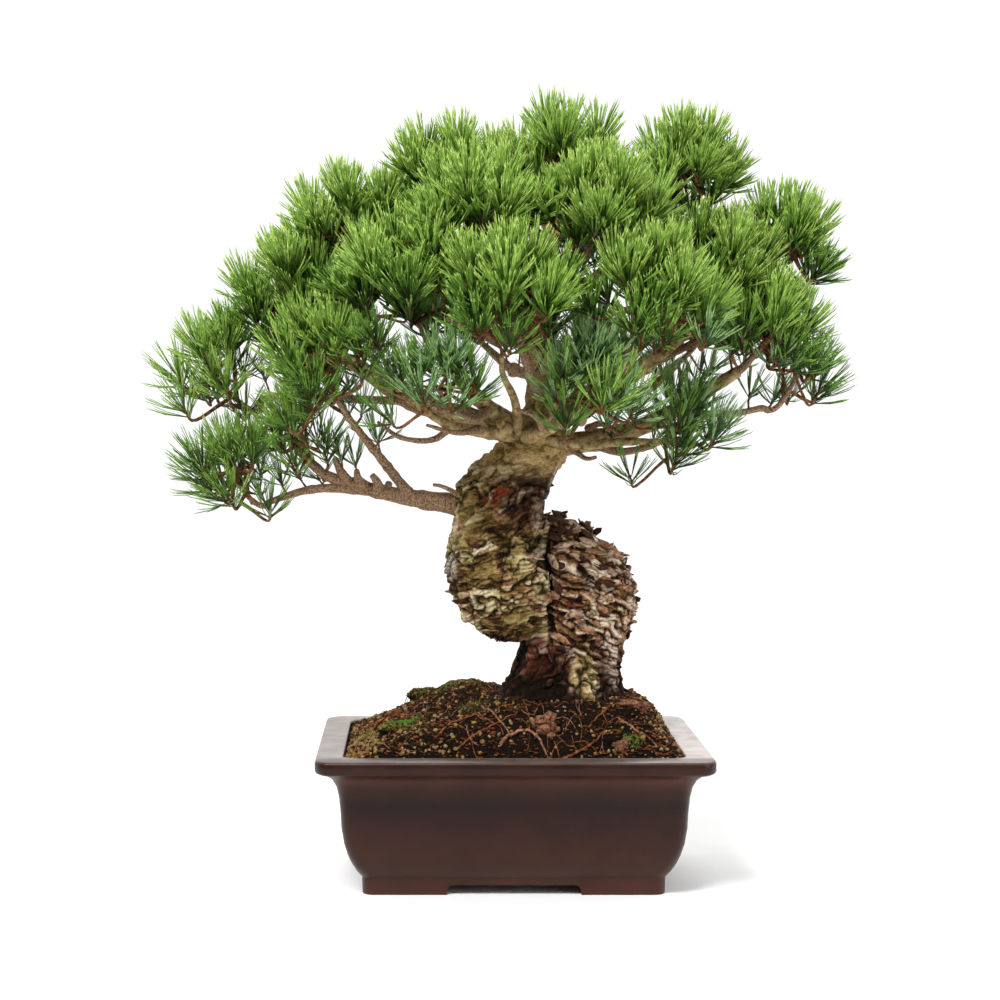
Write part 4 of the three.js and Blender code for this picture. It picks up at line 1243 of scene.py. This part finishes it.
def tufts_of(mass):
    """The tufts of a mass where the solids have them, and finer side shoots that leave their twigs."""
    draw = seeded(100 + 17 * mass.index)
    rng = np.random.default_rng(500 + mass.index)
    space = space_of(mass)
    _, bend, end = stem_of(mass)
    tufts = []
    for share, away in ways_over(mass, draw):
        aim = unit(UP * DOME["rise"] + mass.outward * DOME["out"] + away * DOME["spread"])
        depth = depth_of(mass, space, away, aim) * (1 - DOME["jitter"] * draw())
        if depth < DOME["least"]:
            continue
        base = mass.centre + away * depth
        leaves = bend + (end - bend) * (SHOOT["last"] + (SHOOT["first"] - SHOOT["last"]) * share)
        top = base + aim * TWIG["height"]
        fits = (room_in(space, base) > TWIG["core"] + 2 and room_in(space, top) > 1
                and is_clear(base, top, TWIG["core"]) and is_clear(leaves, base, TWIG["radius"]))
        if fits:
            tufts.append(Tuft(leaves, base, aim, share, 1.0, 0))
            tufts += side_shoots(tufts[-1], mass, space, rng)
    return tufts


def side_shoots(tuft, mass, space, rng):
    """Weaker shoots beside a tuft, where there is room for them."""
    found = []
    side, over = frame_on(tuft.aim)
    turn = rng.uniform(0, TURN)
    count = SIDE_SHOOT["count"] if mass.centre[2] > 400 else 1
    for k in range(count):
        angle = turn + k * TURN / count + rng.uniform(-SIDE_SHOOT["swing"], SIDE_SHOOT["swing"])
        away = math.cos(angle) * side + math.sin(angle) * over
        base = tuft.base + away * SIDE_SHOOT["away"] * rng.uniform(*SIDE_SHOOT["away_varies"])
        base = base - tuft.aim * SIDE_SHOOT["back"] * rng.uniform(*SIDE_SHOOT["back_varies"])
        aim = unit(tuft.aim + away * SIDE_SHOOT["turn"])
        leaves = tuft.twig()[int(rng.uniform(*SIDE_SHOOT["leaves"]))]
        vigour = SIDE_SHOOT["share"] * rng.uniform(*SIDE_SHOOT["share_varies"])
        top = base + aim * TUFT["length"] * vigour
        inside = room_in(space, base) > 3 and np.linalg.norm(top - mass.centre) < mass.radius + 4
        brush_clear = is_clear(base, base + aim * TWIG["height"], TWIG["brush"])
        if inside and is_clear(leaves, base, TWIG["slim"]) and brush_clear:
            found.append(Tuft(leaves, base, aim, tuft.share, vigour, 1))
    return found


def valley_shoots(mass, rng):
    """Shoots in the valleys between a mass and its later neighbours, so that the crown runs on. Each
    grows from the stem of the lower mass."""
    found = []
    for other in masses[mass.index + 1:]:
        stem = min(mass, other, key=lambda m: m.centre[2]).heart
        way = other.centre - mass.centre
        near = np.linalg.norm(way) * mass.radius / (mass.radius + other.radius)
        if near > VALLEY["widest"] * mass.radius:
            continue
        out = unit(mass.outward + other.outward)
        out = unit(out - unit(way) * (out @ unit(way)))
        aside = np.cross(out, unit(way))
        rise = VALLEY["rise"] * math.sqrt(mass.radius**2 - near**2)
        for step in (-1, 0, 1):
            beside = aside * step * rng.uniform(*VALLEY["beside"])
            top = mass.centre + unit(way) * near + out * rise + beside
            aim = unit(UP + 0.5 * out + rng.normal(0, VALLEY["sway"], 3))
            base = top - aim * TUFT["length"]
            depths = [np.linalg.norm(base - m.centre) / m.radius for m in masses if m not in (mass, other)]
            outer = stem + (base - stem) * VALLEY["leaves"]
            clear = is_clear(outer, base, TWIG["slim"]) and is_clear(base, top, TWIG["brush"])
            if min(depths) > VALLEY["inside"] and base[2] > outer[2] - VALLEY["hang"] and clear:
                found.append(Tuft(stem, base, aim, 0.5, rng.uniform(*VALLEY["vigour"]), 0))
    return found


def inner_shoots(mass, rng):
    """Weak shoots along the outer half of a bough, in the shade under the masses."""
    found = []
    count = int(mass.curve.length * (1 - INNER_SHOOT["from"]) / INNER_SHOOT["pace"])
    for share in np.linspace(INNER_SHOOT["from"], INNER_SHOOT["to"], count):
        start, way = mass.curve.at(share), mass.curve.heading(share)
        side, over = frame_on(way)
        turn = rng.uniform(0, TURN)
        away = unit(math.cos(turn) * side + math.sin(turn) * over + 0.5 * UP + 0.4 * way)
        base = start + away * rng.uniform(*INNER_SHOOT["away"])
        aim = unit(UP + 0.7 * away + 0.4 * mass.outward)
        near_hub = abs(base[0] - HUB["x"]) < HUB["half"] and base[2] < HUB["high"]
        left_out = near_hub and rng.random() < HUB["bare"]
        hangs = base[2] < start[2] + 3
        if is_clear(base, base + aim * 14, INNER_SHOOT["brush"]) and not left_out and not hangs:
            found.append(Tuft(start, base, aim, 1.0, rng.uniform(*INNER_SHOOT["vigour"]), 2))
    return found


# The triangles of a three-sided needle: its root, two lengths of its sides and its point
NEEDLE_FACES = [(0, 2, 1)]
NEEDLE_FACES += [face for start in (0, 3) for k, n in ((0, 1), (1, 2), (2, 0)) for face in
                 ((start + k, start + n, start + n + 3), (start + k, start + n + 3, start + k + 3))]
NEEDLE_FACES += [(6, 7, 9), (7, 8, 9), (8, 6, 9)]
# Finishes of a needle's lower half, its upper half and its point, for each tone of tuft: the darker lower
# half is painted shade at the tuft's base, and the tones run from painted shade, deep, to painted light,
# bright
TONES = {"deep": (0, 1, 1), "full": (0, 1, 2), "fresh": (1, 2, 2), "bright": (1, 2, 3), "blue": (4, 5, 5)}
LEAST_LIGHT = {"bright": 0.52, "fresh": 0.34, "full": 0.16}


def needle_lines(tuft, low, rng):
    """Where each needle of a tuft starts, bends towards the light, narrows and ends. They stand round
    the shoot in bundles of five, and low tufts are thin ones."""
    count = TUFT["needles"] * tuft.vigour * rng.uniform(*TUFT["count_varies"])
    count = int(count * (1 - 0.35 * low))
    bundle = np.arange(count) // TUFT["bundle"]
    bundles = bundle.max() + 1
    side, over = frame_on(tuft.aim)
    height = (bundle + rng.uniform(0.2, 0.8, count)) / bundles
    turn = bundle * GOLDEN_ANGLE + rng.normal(0, 0.13, count)
    lean = TUFT["lean"] + (TUFT["spread"] + 0.2 * low) * (1 - height) ** 0.75
    lean += rng.normal(0, 0.10, bundles)[bundle] + rng.normal(0, 0.05, count)
    spoke = np.cos(turn)[:, None] * side + np.sin(turn)[:, None] * over
    way = unit(np.cos(lean)[:, None] * tuft.aim + np.sin(lean)[:, None] * spoke)
    length = TUFT["length"] * tuft.vigour**0.4 * rng.uniform(*TUFT["length_varies"], count)
    length = length * (0.86 + 0.14 * height)
    root = tuft.base + tuft.aim * (height * TUFT["shoot"] * tuft.vigour)[:, None] + spoke * 1.1
    later = unit(way + 0.28 * tuft.aim + 0.14 * UP + rng.normal(0, 0.07, (count, 3)))
    bend = root + way * (length * 0.5)[:, None]
    neck = bend + unit(way + later) * (length * 0.38)[:, None]
    return way, root, bend, neck, neck + later * (length * 0.12)[:, None]


def needles_of(tuft, tone, rng):
    """A brush of three-sided needles, with their triangles and each one's finish."""
    low = 1 - float(smooth(tuft.base[2], *TUFT["low"]))
    way, root, bend, neck, tip = needle_lines(tuft, low, rng)
    helper = np.where(np.abs(way[:, 2:]) < 0.9, UP, [1.0, 0.0, 0.0])
    across = unit(np.cross(helper, way))
    around = np.cross(way, across)
    roll = rng.uniform(0, TURN, len(way))
    thick = TUFT["radius"] * (1 - 0.22 * low)
    rings = []
    for middle, radius in ((root, thick * 0.75), (bend, thick), (neck, thick * 0.8)):
        for k in range(3):
            angle = (roll + k * TURN / 3)[:, None]
            rings.append(middle + (np.cos(angle) * across + np.sin(angle) * around) * radius)
    points = np.stack([*rings, tip], 1).reshape(-1, 3)
    triangles = (np.arange(len(way))[:, None, None] * 10 + np.array(NEEDLE_FACES)).reshape(-1, 3)
    lower, upper, end = TONES[tone]
    return points, triangles, np.tile([lower] * 7 + [upper] * 6 + [end] * 3, len(way))


def tone_of(tuft, mass, rng):
    """Painted light and shade: tufts high up and outside are bright, and low and inner ones blue or deep.
    """
    light = 0.72 * (tuft.base[2] - 340) / 240 + 0.34 * (1 - tuft.share) + rng.normal(0, 0.13)
    light += 0.3 * (mass.centre[0] < -150 and mass.centre[2] < 360) - 0.25 * tuft.order
    if tuft.base[2] < 415 and rng.random() < 0.5 and mass.centre[0] > -120:
        return "blue"
    return next((tone for tone, least in LEAST_LIGHT.items() if light > least), "deep")


def scale_ruff(heap, tuft, rng):
    """Papery scales round the end of a shoot, below its needles."""
    side, over = frame_on(tuft.aim)
    for k in range(RUFF["count"]):
        turn = k * GOLDEN_ANGLE
        spoke = math.cos(turn) * side + math.sin(turn) * over
        across = np.cross(tuft.aim, spoke)
        foot = tuft.base + tuft.aim * rng.uniform(*RUFF["climb"]) * tuft.vigour + spoke * 0.8
        tip = foot + unit(tuft.aim + spoke * 0.8) * rng.uniform(*RUFF["length"])
        points = [foot + across * 0.7, foot - across * 0.7, foot - spoke * 0.8, tip]
        heap.add(points, [(0, 1, 3), (1, 2, 3), (2, 0, 3), (1, 0, 2)], 0)


def grow_tuft(tuft, tone, twigs, scales, needles, rng):
    """A twig that bends into its tuft, with its scales and its brush of needles."""
    line = np.vstack([tuft.twig(), tuft.base + tuft.aim * TUFT["shoot"] * tuft.vigour])
    thick = np.linspace(*TWIG["thick"], len(line)) * tuft.vigour**0.7
    thick[-1] = TWIG["end"]
    twigs.add(*tube(line, thick, 6, rng.normal(0, 0.14, (10, 6))), 1)
    needles.add(*needles_of(tuft, tone, rng))
    scale_ruff(scales, tuft, rng)


def grow_stem(mass, twigs, rng):
    """A mass's own stem, a little sinuous, out of its bough's end."""
    start, bend, end = stem_of(mass)
    root = mass.tip if mass.curve else LEADER["tip"]
    into = start - (bend - start) * 0.6
    stem = bezier(into, bend, bend + (end - bend) * 0.35, end, 18)
    stem += np.outer(np.sin(np.linspace(0, 7, 18)), frame_on(unit(end - bend))[0]) * 0.8
    radii = np.linspace(min(root, SHOOT["radius"] + 0.4), SHOOT["thin"] * 0.9, 18)
    twigs.add(*tube(stem, radii, 8, rng.normal(0, 0.12, (18, 8))), 0)


def grow_crown():
    twigs, scales, inner = Heap(), Heap(), Heap()
    for mass in masses:
        rng = np.random.default_rng(1000 + mass.index)
        grow_stem(mass, twigs, rng)
        crown = Heap()
        for tuft in tufts_of(mass) + valley_shoots(mass, rng):
            if not tuft.hides_opening():
                grow_tuft(tuft, tone_of(tuft, mass, rng), twigs, scales, crown, rng)
        for tuft in inner_shoots(mass, rng) if mass.curve else []:
            if not tuft.hides_opening():
                # Inner tufts take the deep tone, painted shade, or the blue one
                grow_tuft(tuft, rng.choice(["deep", "blue"]), twigs, scales, inner, rng)
        needles = crown.piece(f"pine_needles_{mass.name}", NEEDLES)
        finished(needles, "needles", f"needles_{mass.name}")
    finished(inner.piece("pine_needles_inner", NEEDLES), "needles")
    finished(twigs.piece("twigs", [LIMB_BARK, RED_TWIG]), "limb", smooth_angle=60)
    finished(scales.piece("bud_scales", [BUD_SCALE]), "limb")


# Studio

# How strongly the room lights the plant from the camera's side and from behind the plant, and how
# white it looks there
SURROUND = {"front": 0.18, "back": 1.6, "seen": 1.05}
# Each lamp: its name, place, width in metres and power in watts
STUDIO_LIGHTS = [
    ("key_softbox", (-700, -1150, 1600), 0.8, 44),
    ("fill_softbox", (1350, -1100, 800), 1.2, 14),
    ("back_softbox", (300, 1300, 1500), 1.0, 14),
]
# The photograph's width and focal length in pixels, how far its frame is shifted, and its viewpoint
PHOTO = {"width": 1000, "focal": 2057, "shift": (77, -112), "eye": (-69, -1632.5, 384)}


def build_floor():
    """Matt white paper, very faintly fibrous."""
    deselect()
    bpy.ops.mesh.primitive_circle_add(vertices=96, radius=1.2, fill_type="NGON")
    floor = bpy.context.object
    floor.name = "studio_floor"
    paper, tree, at = new_material("matt white paper", 0.95, 1.45)
    fibre = add(tree, "TexNoise", {"Scale": 1 / (40 * MM), "Detail": 2}, at)
    tint = add(tree, "Mix", {"data_type": "RGBA", 6: "#f4f4f4", 7: "#fbfbfb"}, {0: fibre}, out=2)
    to_shader(tree, {"Base Color": tint})
    floor.data.materials.append(paper)


def build_surround():
    """A white room that lights the plant most from behind, and looks plain white to the camera."""
    world = bpy.context.scene.world or bpy.data.worlds.new("studio")
    bpy.context.scene.world = world
    world.use_nodes = True
    tree = world.node_tree
    room = tree.nodes["Background"]
    room.inputs["Color"].default_value = colour("#ffffff")
    depth = add(tree, "SeparateXYZ", links={"Vector": add(tree, "TexCoord", out="Generated")}, out="Y")
    span = {"From Min": -0.3, "From Max": 0.95, "To Min": SURROUND["front"], "To Max": SURROUND["back"]}
    tree.links.new(add(tree, "MapRange", span, {"Value": depth}), room.inputs["Strength"])
    seen = add(tree, "Background", {"Color": "#ffffff", "Strength": SURROUND["seen"]})
    by_camera = add(tree, "LightPath", out="Is Camera Ray")
    both = add(tree, "MixShader", links={0: by_camera, 1: room.outputs[0], 2: seen})
    tree.links.new(both, tree.nodes["World Output"].inputs["Surface"])


def build_lights():
    for name, place, size, power in STUDIO_LIGHTS:
        light = bpy.data.lights.new(name, "AREA")
        light.shape = "DISK"
        light.size = size
        light.energy = power
        lamp = bpy.data.objects.new(name, light)
        bpy.context.scene.collection.objects.link(lamp)
        lamp.location = Vector(in_frame(place))
        towards = lamp.location - Vector(in_frame((0, 0, 340)))
        lamp.rotation_euler = towards.to_track_quat("Z", "Y").to_euler()


def build_camera():
    """The photograph's view: level, from the height of the crown's foot, and a little to the left."""
    camera = bpy.data.cameras.new("photo_camera")
    camera.sensor_width = 36
    camera.lens = PHOTO["focal"] * camera.sensor_width / PHOTO["width"]
    camera.shift_x, camera.shift_y = (shift / PHOTO["width"] for shift in PHOTO["shift"])
    camera.clip_end = 50
    view = bpy.data.objects.new("photo_camera", camera)
    bpy.context.scene.collection.objects.link(view)
    view.location = in_frame(PHOTO["eye"])
    view.rotation_euler = (math.radians(90), 0, 0)
    bpy.context.scene.camera = view
    bpy.context.scene.view_settings.view_transform = "Standard"


build_camera()
build_floor()
build_surround()
build_lights()
build_pot()
earth = build_earth()
soil_rng = np.random.default_rng(7)
scatter_grains(earth, soil_rng)
lay_roots(earth, soil_rng)
grow_moss(earth, soil_rng)
build_trunk()
build_boughs()
grow_crown()
